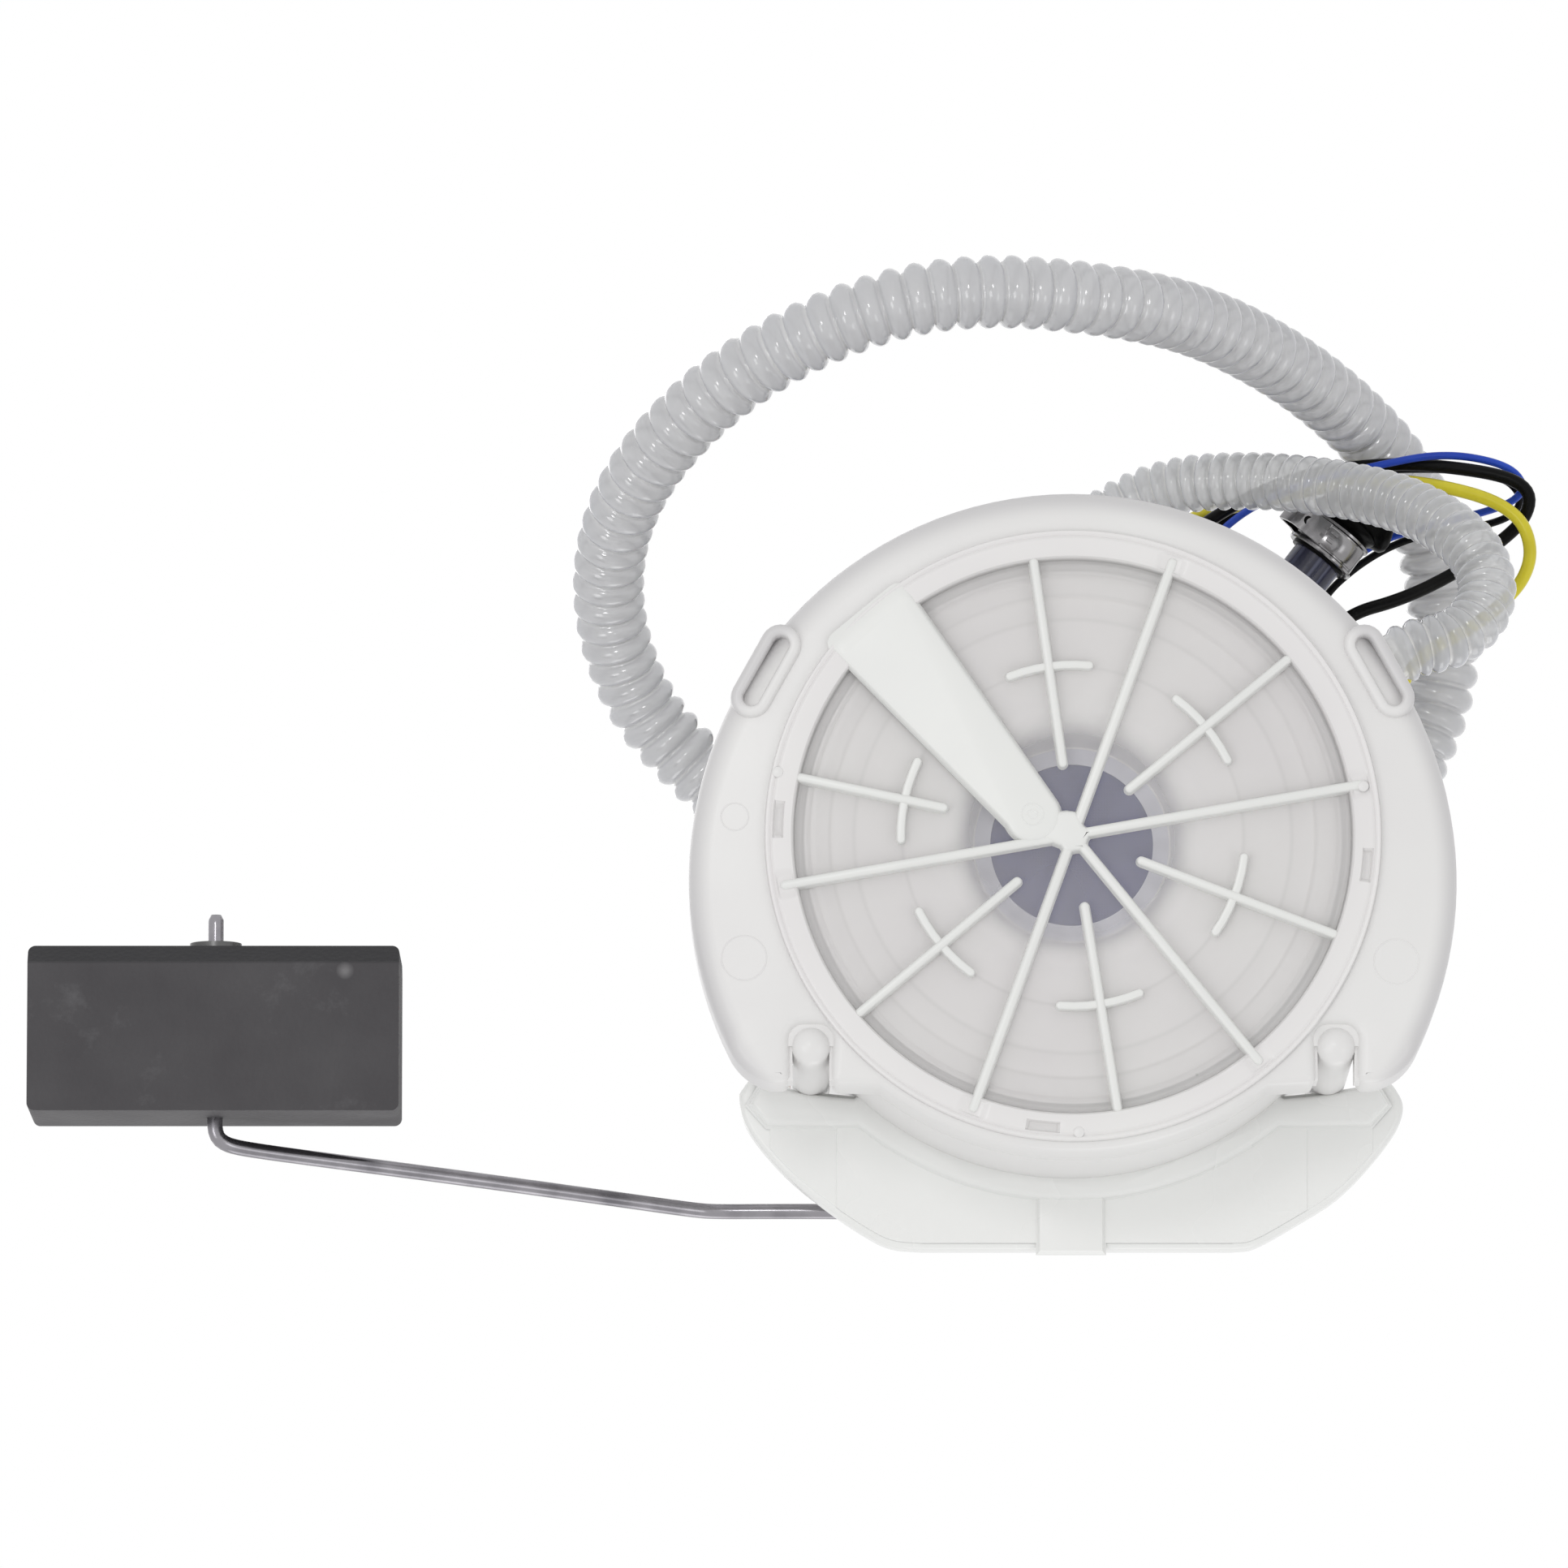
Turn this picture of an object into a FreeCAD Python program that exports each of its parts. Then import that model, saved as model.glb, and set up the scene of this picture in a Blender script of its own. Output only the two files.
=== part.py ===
import FreeCAD, Part
import math
import os

# An in-tank fuel pump module. A moulded swirl pot stands on the tank floor with the pump inside it, a level
# sender with its float hangs on the pot's front, and a flange above the pot rides on two sprung guide rods.
# A large and a small corrugated hose and four wires join the pot to the flange.
# Lengths are in millimetres. The origin is the middle of the pot's bottom plate, on the tank floor, and +Z is
# up. The level sender faces -Y and its float lies at +X.

# Driving dimensions of the swirl pot
POT_R = 61.6
POT_Y = -6.8
POT_FRONT = 0.6494 * POT_R
PLATE_R = 49.4
BULGE_R = PLATE_R + 1.4
POT_TOP = 98.0
SHOULDER_Z = 16.0
POST_TOP = 60.0
WALL = 2.0
FLOOR_Z = 1.5
FLOOR_T = 2.0
EDGE_R = 4.0
CORNER_R = 5.0
NOTCH_X = 0.6818 * POT_R
NOTCH_W = 9.8
NOTCH_BACK = POT_FRONT - 11.1
POST_R = 3.2
POST_Y = -(NOTCH_BACK + 5.0)
EYELET = (0.7987 * POT_R, 0.4318 * POT_R)
EYELET_LEAN = 29.0
EYELET_LONG = 16.0
EYELET_WIDE = 6.2
SLOT_LONG = 11.2
SLOT_WIDE = 2.5

# Driving dimensions of the ribbed bottom plate
BAND = 4.7
BAND_Z = 0.3
DISC_Z = 2.2
DISC_T = 1.5
RIB_W = 1.7
RIB_END = PLATE_R - 2.1
LONG_RIBS = (20.0, 80.0, 141.0, 200.0, 260.0)
SHORT_RIBS = ((352.0, 11.7), (50.5, 11.7), (111.0, 11.7), (171.0, 11.7), (230.0, 11.7), (282.0, 21.2))
CROSS_R = 27.6
CROSS_HALF = 14.5
HUB_R = 3.0
ARM_HUB = (6.5, 3.2)
ARM_HUB_R = 4.8

# Driving dimensions of the pump and what holds it
STRAINER_Z = 13.5
STRAINER_R = 13.1
CAP_R = 15.7
PUMP_R = 19.0
PUMP_Z0 = 18.0
PUMP_Z1 = 86.0
HOLDER_T = 2.2
HOLDER_Z = 22.0
FILTER_R0 = 0.5547 * PLATE_R
FILTER_R1 = 0.7854 * PLATE_R
FILTER_TOP = 84.0
FIT = 0.05

# Driving dimensions of the lid, the guide rods and the flange
LID_T = 2.4
LID_LIP = 1.2
ROD_X = 0.7348 * PLATE_R
ROD_Y = 0.5 * PLATE_R
ROD_R = 3.0
GUIDE_R = 4.6
GUIDE_SEAT_R = 6.0
GUIDE_Z0 = 72.0
GUIDE_RISE = 4.0
HEAD_GAP = 0.3
FLANGE_Y = 8.0
FLANGE_R = 55.0
FLANGE_Z = 148.0
FLANGE_T = 3.4
SEAL_W = 5.0
SEAL_T = 3.4
SPRING_R = 5.2
SPRING_WIRE = 1.2
SPRING_TURNS = 4
NIPPLE_R = 3.7
NIPPLE_BORE = 2.6
SMALL_NIPPLE_R = 2.9
SMALL_NIPPLE_BORE = 1.9
STUB_NIPPLE = (-24.0, 37.0, 112.0)
STUB_LONG = 31.0
CLAMP_WIDE = 5.8
EAR_WIDE = 4.0
ELBOW_R = 5.1
PLUG_X = (44.8, 55.8)
PLUG_Y = 20.0
PLUG_TALL = 6.0
WIRE_EXIT_Y = 46.0
OUTLET_X = (-19.3, -1.0)
OUTLET_DEEP = 12.0
OUTLET_DROP = 13.0
DELIVERY = (-16.0, 22.0)
DELIVERY_RISE = 22.0
SOCKET_X = (4.0, 30.0)
SOCKET_Y = (2.0, 18.0)
SOCKET_RISE = 18.0
SOCKET_WALL = 2.0
SOCKET_FLOOR = 3.0
PIN_X = (9.5, 14.5, 19.5, 24.5)
PIN_RISE = 13.0

# Driving dimensions of the hoses and wires
BIG_HOSE = 12.0
BIG_GROOVE = 10.2
BIG_PITCH = 7.8
HOSE_CUFF = 8.0
SMALL_HOSE = 9.6
SMALL_GROOVE = 8.4
SMALL_PITCH = 5.4
THICK_WIRE = 2.2
THIN_WIRE = 1.3

# Driving dimensions of the level sender
SHELF_Z = 43.0
SHELF_T = 2.0
RIM_Z = 49.0
LIP_Z = 41.0
SADDLE_Y = -52.4
SADDLE_TOP = 88.0
HOUSING_T = 3.0
HOUSING_SIDES = (23.0, 9.0)
HOUSING_TOP = SADDLE_TOP - 6.0
BOARD = (21.0, 7.0, 9.0, 21.0)
PIVOT = (8.0, 58.0)
HUB_GAP = 0.3
HUB_T = 3.3
HUB_DISC_R = 7.0
PIVOT_R = 2.5
WIRE_R = 1.25
FLOAT_X = 138.0
FLOAT_Z = 22.0
FLOAT_LONG = 59.7
FLOAT_DEEP = 27.0
FLOAT_TALL = 22.0
FLOAT_FRONT = -43.2

SHELF_OUTLINE = (
    (50.4, -35.4), (53.4, -37.9), (53.4, -40.5), (47.6, -48.4), (35.7, -58.1), (28.9, -61.6), (25.9, -62.1),
    (-29.7, -62.1), (-37.2, -57.7), (-43.6, -53.6), (-49.0, -48.2), (-53.5, -42.1), (-54.4, -39.1),
    (-50.4, -35.7), (-34.5, -37.6), (-31.0, -39.0), (-27.2, -40.3), (27.2, -40.3), (31.0, -39.0), (34.5, -37.6),
)
LIP_FRONT = 42.4
CREASES = (37.8, -38.7)
ARM_POINTS = (
    (33.0, -54.3, 58.6), (59.1, -54.1, 60.0), (FLOAT_X - 2.9, FLOAT_FRONT - 4.6, FLOAT_Z + 1.4),
    (FLOAT_X, FLOAT_FRONT - 1.4, FLOAT_Z), (FLOAT_X, FLOAT_FRONT + FLOAT_DEEP + 6.0, FLOAT_Z),
)

# The hoses' and wires' routes, as points chosen along each one
BIG_ROUTE = (
    (50.0, 16.7, 110.0), (60.5, 25.4, 109.6), (71.8, 37.6, 106.5), (76.8, 54.0, 95.0), (72.6, 69.0, 79.0),
    (58.0, 83.0, 64.0), (38.5, 93.0, 56.0), (17.0, 98.5, 55.0), (-10.1, 97.9, 65.0), (-27.0, 96.9, 86.0),
    (-45.4, 90.2, 111.0), (-60.3, 77.9, 130.0), (-65.2, 60.9, 135.0), (-66.2, 45.0, 137.5),
    (-58.0, 25.5, 138.0), (-48.5, 9.5, 138.0),
)
SMALL_ROUTE = (
    (-48.0, 34.2, 62.0), (-56.0, 39.3, 62.0), (-64.5, 41.0, 63.5), (-69.8, 46.8, 67.0), (-69.8, 54.5, 71.5),
    (-65.0, 61.5, 77.5), (-56.5, 67.6, 86.0), (-45.5, 71.6, 95.5), (-32.5, 74.2, 103.5),
    (-18.0, 74.4, 110.0), (-6.0, 68.8, 112.2), (3.0, 59.4, 111.5), (9.0, 51.4, 111.5),
)
BLUE_ROUTE = (
    (-17.5, 46.0, 139.0), (-17.5, 57.0, 139.0), (-27.3, 70.4, 130.0), (-39.0, 75.0, 116.0),
    (-52.0, 76.9, 107.0), (-64.1, 78.9, 104.2), (-74.7, 77.1, 104.6), (-78.2, 73.8, 106.0),
    (-76.4, 71.1, 107.5), (-71.0, 69.7, 111.0), (-62.0, 68.5, 117.5), (-53.9, 66.6, 121.5),
    (-46.0, 61.0, 121.5), (-40.5, 52.5, 119.0), (-44.5, 41.0, 110.0), (-49.0, 33.0, 104.0),
    (-49.0, 20.0, 104.0),
)
THIN_ROUTE = (
    (-13.5, 46.0, 139.0), (-13.5, 57.0, 139.0), (-26.0, 71.5, 137.5), (-39.5, 78.0, 126.3),
    (-54.0, 77.6, 113.6), (-66.5, 76.8, 108.6), (-74.6, 75.4, 108.2), (-77.6, 72.6, 109.5),
    (-77.0, 69.9, 111.5), (-73.0, 68.4, 114.5), (-66.5, 67.9, 118.5), (-59.2, 67.4, 123.0),
    (-51.4, 63.7, 125.0), (-44.0, 57.0, 124.5), (-43.1, 48.5, 117.0), (-51.4, 33.0, 104.0),
    (-51.4, 20.0, 104.0),
)
BLACK_ROUTE = (
    (-9.0, 46.0, 139.0), (-9.0, 58.0, 139.0), (-24.0, 71.5, 133.0), (-40.0, 77.6, 119.0),
    (-56.2, 78.0, 109.2), (-66.9, 76.3, 104.3), (-75.3, 74.5, 102.8), (-78.8, 72.0, 102.8),
    (-78.3, 68.3, 103.5), (-75.4, 65.1, 105.5), (-67.1, 59.4, 108.5), (-57.5, 54.5, 107.5),
    (-47.9, 51.6, 105.5), (-42.5, 45.0, 104.6), (-46.4, 33.0, 104.0), (-46.4, 20.0, 104.0),
)
YELLOW_ROUTE = (
    (-4.5, 46.0, 139.0), (-4.5, 58.0, 139.0), (-20.0, 72.8, 137.0), (-36.0, 74.6, 127.0),
    (-47.5, 75.8, 117.4), (-56.0, 74.8, 107.6), (-64.1, 73.0, 103.0), (-72.1, 70.5, 101.0),
    (-76.9, 67.1, 100.0), (-78.6, 62.9, 100.0), (-78.4, 59.0, 101.0), (-76.0, 54.9, 102.5),
    (-68.9, 48.9, 103.5), (-59.5, 44.5, 104.0), (-54.0, 33.0, 104.0), (-54.0, 20.0, 104.0),
)

V = FreeCAD.Vector
UP = V(0, 0, 1)


def rod(x, y, z0, z1, radius):
    return Part.makeCylinder(radius, z1 - z0, V(x, y, z0))


def pipe(x, y, z0, z1, outer, inner):
    return rod(x, y, z0, z1, outer).cut(rod(x, y, z0, z1, inner))


def rod_y(x, z, y0, y1, radius):
    return Part.makeCylinder(radius, y1 - y0, V(x, y0, z), V(0, 1, 0))


def block(x0, x1, y0, y1, z0, z1):
    return Part.makeBox(x1 - x0, y1 - y0, z1 - z0, V(x0, y0, z0))


def rod_along(start, direction, length, radius):
    return Part.makeCylinder(radius, length, start, direction)


def joined(first, *others):
    return first.multiFuse(list(others)).removeSplitter()


def stadium(long, wide, z0, z1):
    """A bar with round ends along Y, centred on the Z axis."""
    reach = (long - wide) / 2
    bar = block(-wide / 2, wide / 2, -reach, reach, z0, z1)
    return joined(bar, rod(0, -reach, z0, z1, wide / 2), rod(0, reach, z0, z1, wide / 2))


def placed(shape, x, y, turn):
    moved = shape.copy()
    moved.rotate(V(0, 0, 0), UP, turn)
    moved.translate(V(x, y, 0))
    return moved


def compass(angle):
    """The direction at an angle counted clockwise from the back, as seen from below."""
    return V(-math.sin(math.radians(angle)), math.cos(math.radians(angle)), 0)


def saved(node, shape):
    solids = shape.Solids
    assert shape.isValid() and solids, node
    kept = solids[0] if len(solids) == 1 else Part.makeCompound(solids)
    kept.exportStep("parts/" + node + ".step")


class Route:
    """Straight runs joined by tangent arcs, each arc 0.45 of its shorter run along both of them."""

    SHARE = 0.45

    def __init__(self, points):
        self.pieces = []
        self.radii = []
        p = [V(*q) for q in points]
        start = p[0]
        for before, corner, after in zip(p, p[1:], p[2:]):
            into = (corner - before).normalize()
            out = (after - corner).normalize()
            turn = into.getAngle(out)
            shorter = min((corner - before).Length, (after - corner).Length)
            setback = self.SHARE * shorter
            radius = setback / math.tan(turn / 2)
            self.radii.append(radius)
            self.line(start, corner - into * setback)
            self.arc(corner - into * setback, into, out, radius, turn)
            start = corner + out * setback
        self.line(start, p[-1])
        self.length = sum(piece[0] for piece in self.pieces)

    def line(self, a, b):
        way = (b - a).normalize()
        self.pieces.append(((b - a).Length, lambda s, a=a, way=way: (a + way * s, way), 0.0))

    def arc(self, a, into, out, radius, turn):
        axis = into.cross(out).normalize()
        inward = axis.cross(into)

        def at(s):
            angle = s / radius
            point = a + into * (radius * math.sin(angle)) + inward * (radius * (1 - math.cos(angle)))
            return point, into * math.cos(angle) + inward * math.sin(angle)

        self.pieces.append((radius * turn, at, turn))

    def at(self, s):
        for length, place, _ in self.pieces:
            if s <= length:
                return place(max(s, 0.0))
            s -= length
        length, place, _ = self.pieces[-1]
        return place(length)

    def stations(self, step):
        """Distances along the route: each run's ends, and each arc in steps of at most this angle."""
        marks = [0.0]
        for length, _, turn in self.pieces:
            parts = max(1, math.ceil(turn / step))
            begun = marks[-1]
            marks += [begun + length * (i + 1) / parts for i in range(parts)]
        return marks


def ring(route, s, radius, sides):
    """A ring of straight sides square to the route, with its first corner always uppermost."""
    centre, way = route.at(s)
    x = (UP - way * UP.dot(way)).normalize()
    y = way.cross(x)
    corners = []
    for i in range(sides):
        angle = 2 * math.pi * i / sides
        corners.append(centre + x * (radius * math.cos(angle)) + y * (radius * math.sin(angle)))
    return Part.makePolygon(corners + corners[:1])


def corrugated(name, points, outer, groove, fitting, pitch, cuff, sides=12):
    """A corrugated hose: smooth cuffs on its fittings, and between them ribs of one pitch, each with a crest."""
    route = Route(points)
    count = round((route.length - 2 * cuff) / pitch)
    gap = (route.length - 2 * cuff) / count
    hollow = (fitting + FIT) / math.cos(2 * math.pi / sides)
    valleys = [0.0] + [cuff + i * gap for i in range(count + 1)] + [route.length]
    inside = [ring(route, s, hollow, sides // 2) for s in valleys]
    outside = []
    for s in valleys[:-2]:
        outside.append(ring(route, s, groove / 2, sides))
        if s > 0:
            outside.append(ring(route, s + gap / 2, outer / 2, sides))
    outside += [ring(route, s, groove / 2, sides) for s in valleys[-2:]]
    hose = Part.makeLoft(outside, True, True).cut(Part.makeLoft(inside, True, True))
    print(name, "length", round(route.length, 1), "ribs", count, "volume", round(hose.Volume),
          "radii", [round(r) for r in route.radii])
    return hose


def wire_tube(name, points, thick, sides=5):
    route = Route(points)
    count = round(route.length / 6)
    rings = [ring(route, route.length * i / count, thick / 2, sides) for i in range(count + 1)]
    tube = Part.makeLoft(rings, True, True)
    area = sides * (thick / 2) ** 2 * math.sin(2 * math.pi / sides) / 2
    print(name, "length", round(route.length, 1), "volume", round(tube.Volume), "of", round(area * route.length),
          "radii", [round(r) for r in route.radii])
    return tube


def bent_wire(points, radius):
    """A round wire of straight runs with mitred turns."""
    path = Part.makePolygon([V(*q) for q in points])
    section = Part.Wire([Part.Edge(Part.Circle(V(*points[0]), V(*points[1]) - V(*points[0]), radius))])
    return Part.Solid(path.makePipeShell([section], True, False, 1))


def helix_tube(x, y, z0, z1, radius, thick, turns, sides=5):
    """A spring's coils as a ruled tube, with its end turns lying flat."""
    steps = 10
    rings = []
    total = steps * (turns + 2)
    rise = z1 - z0 - thick * 3
    for i in range(total + 1):
        turn = i / steps
        climb = min(max(turn - 1, 0), turns) / turns
        flat = min(turn, 1) + max(turn - 1 - turns, 0)
        z = z0 + thick / 2 + rise * climb + thick * flat
        a = 2 * math.pi * turn
        centre = V(x + radius * math.cos(a), y + radius * math.sin(a), z)
        outward = V(math.cos(a), math.sin(a), 0)
        corners = []
        for k in range(sides):
            b = 2 * math.pi * k / sides
            corners.append(centre + outward * (thick / 2 * math.cos(b)) + UP * (thick / 2 * math.sin(b)))
        rings.append(Part.makePolygon(corners + corners[:1]))
    return Part.makeLoft(rings, True, True)


def side_nipple(x, y, z0, z1, direction, reach, outer=NIPPLE_R, bore=NIPPLE_BORE):
    """A moulded post from z0 past the height z1, with a hose nipple that leaves its side level."""
    way = V(*direction).normalize()
    corner = V(x, y, z1)
    past = z1 + math.copysign(outer + 0.3, z1 - z0)
    post = rod(x, y, min(z0, past), max(z0, past), outer + 0.5)
    pipe_body = rod_along(corner, way, reach, outer)
    return joined(post, pipe_body).cut(rod_along(corner, way, reach, bore))


def pot_form(grow, z0, z1, edge=0.0):
    """The pot's outline as a solid: a round body cut off square at the front, with the plate's round bulging out."""
    body = rod(0, POT_Y, z0, z1, POT_R + grow)
    far = POT_R * 3
    front = block(-far, far, -POT_FRONT - grow, far, z0 - 1, z1 + 1)
    body = body.common(front)
    upright = [e for e in body.Edges if abs(e.BoundBox.ZLength - (z1 - z0)) < 1e-6 and e.BoundBox.YMax < POT_Y]
    body = body.makeFillet(CORNER_R, upright)
    if edge:
        low = [e for e in body.Edges if abs(e.BoundBox.ZMax - z0) < 1e-6]
        body = body.makeFillet(edge, low)
    return joined(body, rod(0, 0, z0, z1, BULGE_R + grow))


def notch_form(side, grow, z0, z1):
    back = -NOTCH_BACK + grow
    half = NOTCH_W / 2 + grow
    x = side * NOTCH_X
    slot = block(x - half, x + half, -POT_R * 2, back, z0, z1)
    corners = [e for e in slot.Edges if e.BoundBox.ZLength > 1 and abs(e.BoundBox.YMax - back) < 1e-6
               and e.BoundBox.YLength < 1e-6]
    return slot.makeFillet(half * 0.6, corners)


def eyelets(shape_long, shape_wide, z0, z1):
    loop = stadium(shape_long, shape_wide, z0, z1)
    return [placed(loop, side * EYELET[0], EYELET[1], side * EYELET_LEAN) for side in (-1, 1)]


def pot_shell():
    outer = pot_form(0, FLOOR_Z, SHOULDER_Z, EDGE_R)
    outer = joined(outer, rod(0, 0, FLOOR_Z, POT_TOP, BULGE_R),
                   *eyelets(EYELET_LONG, EYELET_WIDE, BAND_Z, FLOOR_Z + EDGE_R + 1))
    inner = joined(pot_form(-WALL, FLOOR_Z + FLOOR_T, SHOULDER_Z - WALL),
                   rod(0, 0, FLOOR_Z + FLOOR_T, POT_TOP + 1, BULGE_R - WALL))
    for side in (-1, 1):
        inner = inner.cut(notch_form(side, WALL, 0, SHOULDER_Z + WALL))
    shell = outer.cut(inner)
    for side in (-1, 1):
        shell = shell.cut(notch_form(side, 0, 0, SHOULDER_Z))
    slots = eyelets(SLOT_LONG, SLOT_WIDE, 0, FLOOR_Z + FLOOR_T - 0.8)
    shell = shell.cut(Part.makeCompound(slots))
    shell = shell.cut(rod(0, 0, 0, FLOOR_Z + FLOOR_T + 1, PLATE_R - BAND + 1.5))
    posts = []
    for side in (-1, 1):
        x = side * NOTCH_X
        posts.append(rod(x, POST_Y, FLOOR_Z + 0.4, POST_TOP, POST_R))
        posts.append(block(x - RIB_W / 2, x + RIB_W / 2, POST_Y, -NOTCH_BACK + WALL, SHOULDER_Z - 4, POST_TOP))
    shell = joined(shell, *posts)
    nipple, hollow = jet_nipple()
    return shell.fuse(nipple).cut(hollow)


def jet_nipple():
    """The side pipe that takes the small hose, square to the pot's wall, and its bore."""
    end = V(*SMALL_ROUTE[0])
    way = (V(*SMALL_ROUTE[1]) - end).normalize()
    root = math.hypot(end.x, end.y) - BULGE_R + WALL
    start = end - way * root
    pipe_body = joined(
        rod_along(start, way, root + 7.5, SMALL_NIPPLE_R),
        rod_along(start, way, root, SMALL_NIPPLE_R + 1.5),
    )
    return pipe_body, rod_along(start, way, root + 8.5, SMALL_NIPPLE_BORE)


def rib(angle, r0, r1, z0, z1, rounded):
    bar = block(-RIB_W / 2, RIB_W / 2, r0, r1, z0, z1)
    if rounded:
        bar = joined(bar, rod(0, r1, z0, z1, RIB_W / 2))
    bar.rotate(V(0, 0, 0), UP, angle)
    return bar


def cross_bar(angle, radius, half, z0, z1):
    start = 90 + angle - half
    outer = Part.makeCylinder(radius + RIB_W / 2, z1 - z0, V(0, 0, z0), UP, 2 * half)
    inner = rod(0, 0, z0, z1, radius - RIB_W / 2)
    bar = outer.cut(inner)
    bar.rotate(V(0, 0, 0), UP, start)
    return bar


def bottom_plate():
    inner = PLATE_R - BAND
    spigot = inner + 1.3
    disc = rod(0, 0, DISC_Z, DISC_Z + DISC_T, inner + 0.5)
    band = pipe(0, 0, BAND_Z, FLOOR_Z, PLATE_R, inner)
    collar = pipe(0, 0, FLOOR_Z - 0.2, FLOOR_Z + FLOOR_T + 0.7, spigot, inner)
    ribs = [rod(0, 0, 0, DISC_Z + 0.2, HUB_R)]
    for angle, start in SHORT_RIBS + tuple((angle, 0.0) for angle in LONG_RIBS):
        ribs.append(rib(angle, start, inner + 0.5, 0, DISC_Z + 0.2, False))
        ribs.append(rib(angle, inner - 1, RIB_END, 0, BAND_Z + 0.2, True))
    for angle, _ in SHORT_RIBS:
        ribs.append(cross_bar(angle, CROSS_R, CROSS_HALF, 0.5, DISC_Z + 0.2))
    windows = [placed(block(-2.6, 2.6, -1, 1, 0, 1.2), compass(turn).x * RIB_END, compass(turn).y * RIB_END, turn)
               for turn in (186, 96, 273)]
    outline = [V(1.8, 5.6, 0), V(0.565 * PLATE_R, 0.85 * PLATE_R, 0), V(0.822 * PLATE_R, 0.64 * PLATE_R, 0),
               V(10.7, 1.0, 0)]
    face = Part.Face(Part.makePolygon(outline + outline[:1]))
    arm = joined(face.extrude(V(0, 0, DISC_Z + 0.2)),
                 rod(ARM_HUB[0], ARM_HUB[1], 0, DISC_Z + 0.2, ARM_HUB_R))
    arm = arm.cut(pipe(0, 0, FLOOR_Z, DISC_Z + 1, PLATE_R * 2, spigot))
    body = joined(disc, band, collar).cut(Part.makeCompound(windows))
    return joined(body, arm, *ribs)


def inlet_strainer():
    return rod(0, 0, STRAINER_Z, PUMP_Z0 - 1.5, STRAINER_R)


def inlet_cap():
    body = rod(0, 0, STRAINER_Z - 0.5, PUMP_Z0, CAP_R)
    return body.cut(rod(0, 0, STRAINER_Z - 1, PUMP_Z0 - 1.5, STRAINER_R))


def pump_can():
    body = rod(0, 0, PUMP_Z0, PUMP_Z1, PUMP_R)
    return body.makeChamfer(1.5, [e for e in body.Edges if e.Closed])


def outlet_cap():
    top = POT_TOP + LID_T + 8
    body = joined(rod(0, 0, PUMP_Z1, PUMP_Z1 + 4, PUMP_R - 3), rod(0, 0, PUMP_Z1 + 4, top, 6))
    return body.cut(rod(0, 0, PUMP_Z1 + 5, top + 1, NIPPLE_BORE))


def filter_element():
    return pipe(0, 0, DISC_Z + DISC_T, FILTER_TOP, FILTER_R1, FILTER_R0)


def pump_holder():
    tube = pipe(0, 0, HOLDER_Z, POT_TOP, PUMP_R + HOLDER_T, PUMP_R)
    slots = [block(-PUMP_R * 2, PUMP_R * 2, -3, 3, HOLDER_Z - 1, HOLDER_Z + 22),
             block(-3, 3, -PUMP_R * 2, PUMP_R * 2, HOLDER_Z - 1, HOLDER_Z + 22)]
    return tube.cut(Part.makeCompound(slots))


def pot_lid():
    top = POT_TOP + LID_T
    plate = rod(0, 0, POT_TOP, top, BULGE_R + LID_LIP)
    guides = []
    bores = []
    for side in (-1, 1):
        guides.append(rod(side * ROD_X, ROD_Y, GUIDE_Z0, top, GUIDE_R))
        guides.append(rod(side * ROD_X, ROD_Y, POT_TOP, top + GUIDE_RISE, GUIDE_SEAT_R))
        bores.append(rod(side * ROD_X, ROD_Y, GUIDE_Z0 - 1, top + GUIDE_RISE + 1, ROD_R + FIT))
    big_way = V(*BIG_ROUTE[1]) - V(*BIG_ROUTE[0])
    big_way.z = 0
    small_way = V(*SMALL_ROUTE[-2]) - V(*SMALL_ROUTE[-1])
    small_way.z = 0
    big_post = V(*BIG_ROUTE[0]) - big_way.normalize() * 10
    small_post = V(*SMALL_ROUTE[-1]) - small_way.normalize() * 8
    posts = (
        side_nipple(big_post.x, big_post.y, POT_TOP, BIG_ROUTE[0][2], big_way, 18),
        side_nipple(small_post.x, small_post.y, POT_TOP, SMALL_ROUTE[-1][2], small_way, 14, SMALL_NIPPLE_R,
                    SMALL_NIPPLE_BORE),
        side_nipple(STUB_NIPPLE[0], STUB_NIPPLE[1], POT_TOP, STUB_NIPPLE[2], STUB_WAY, 14),
    )
    tab = block(-PLUG_X[1] - 1, -PLUG_X[0] + 8, PLUG_Y - 12, PLUG_Y + 1, POT_TOP, top)
    plate = joined(plate, tab, *posts, *guides)
    plate = plate.cut(Part.makeCompound(bores))
    plate = plate.cut(rod(0, 0, POT_TOP - 1, top + 1, 6.3))
    slot = stadium(18, 7, POT_TOP - 1, top + 1)
    vents = [placed(slot, x, y, 0) for x, y in ((26, -18), (-26, -18))]
    return plate.cut(Part.makeCompound(vents))


def wire_plug():
    top = POT_TOP + LID_T
    return block(-PLUG_X[1], -PLUG_X[0], PLUG_Y - 11, PLUG_Y, top, top + PLUG_TALL)


def guide_rods():
    rods = []
    for side in (-1, 1):
        shank = rod(side * ROD_X, ROD_Y, GUIDE_Z0 - HEAD_GAP, FLANGE_Z - 0.5, ROD_R)
        head = rod(side * ROD_X, ROD_Y, GUIDE_Z0 - HEAD_GAP - 2, GUIDE_Z0 - HEAD_GAP, ROD_R + 1.6)
        rods.append(joined(shank, head))
    return Part.makeCompound(rods)


def guide_springs():
    low = POT_TOP + LID_T + GUIDE_RISE
    high = FLANGE_Z - 8
    coils = [helix_tube(side * ROD_X, ROD_Y, low + 0.2, high - 0.2, SPRING_R, SPRING_WIRE, SPRING_TURNS)
             for side in (-1, 1)]
    return Part.makeCompound(coils)


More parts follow.
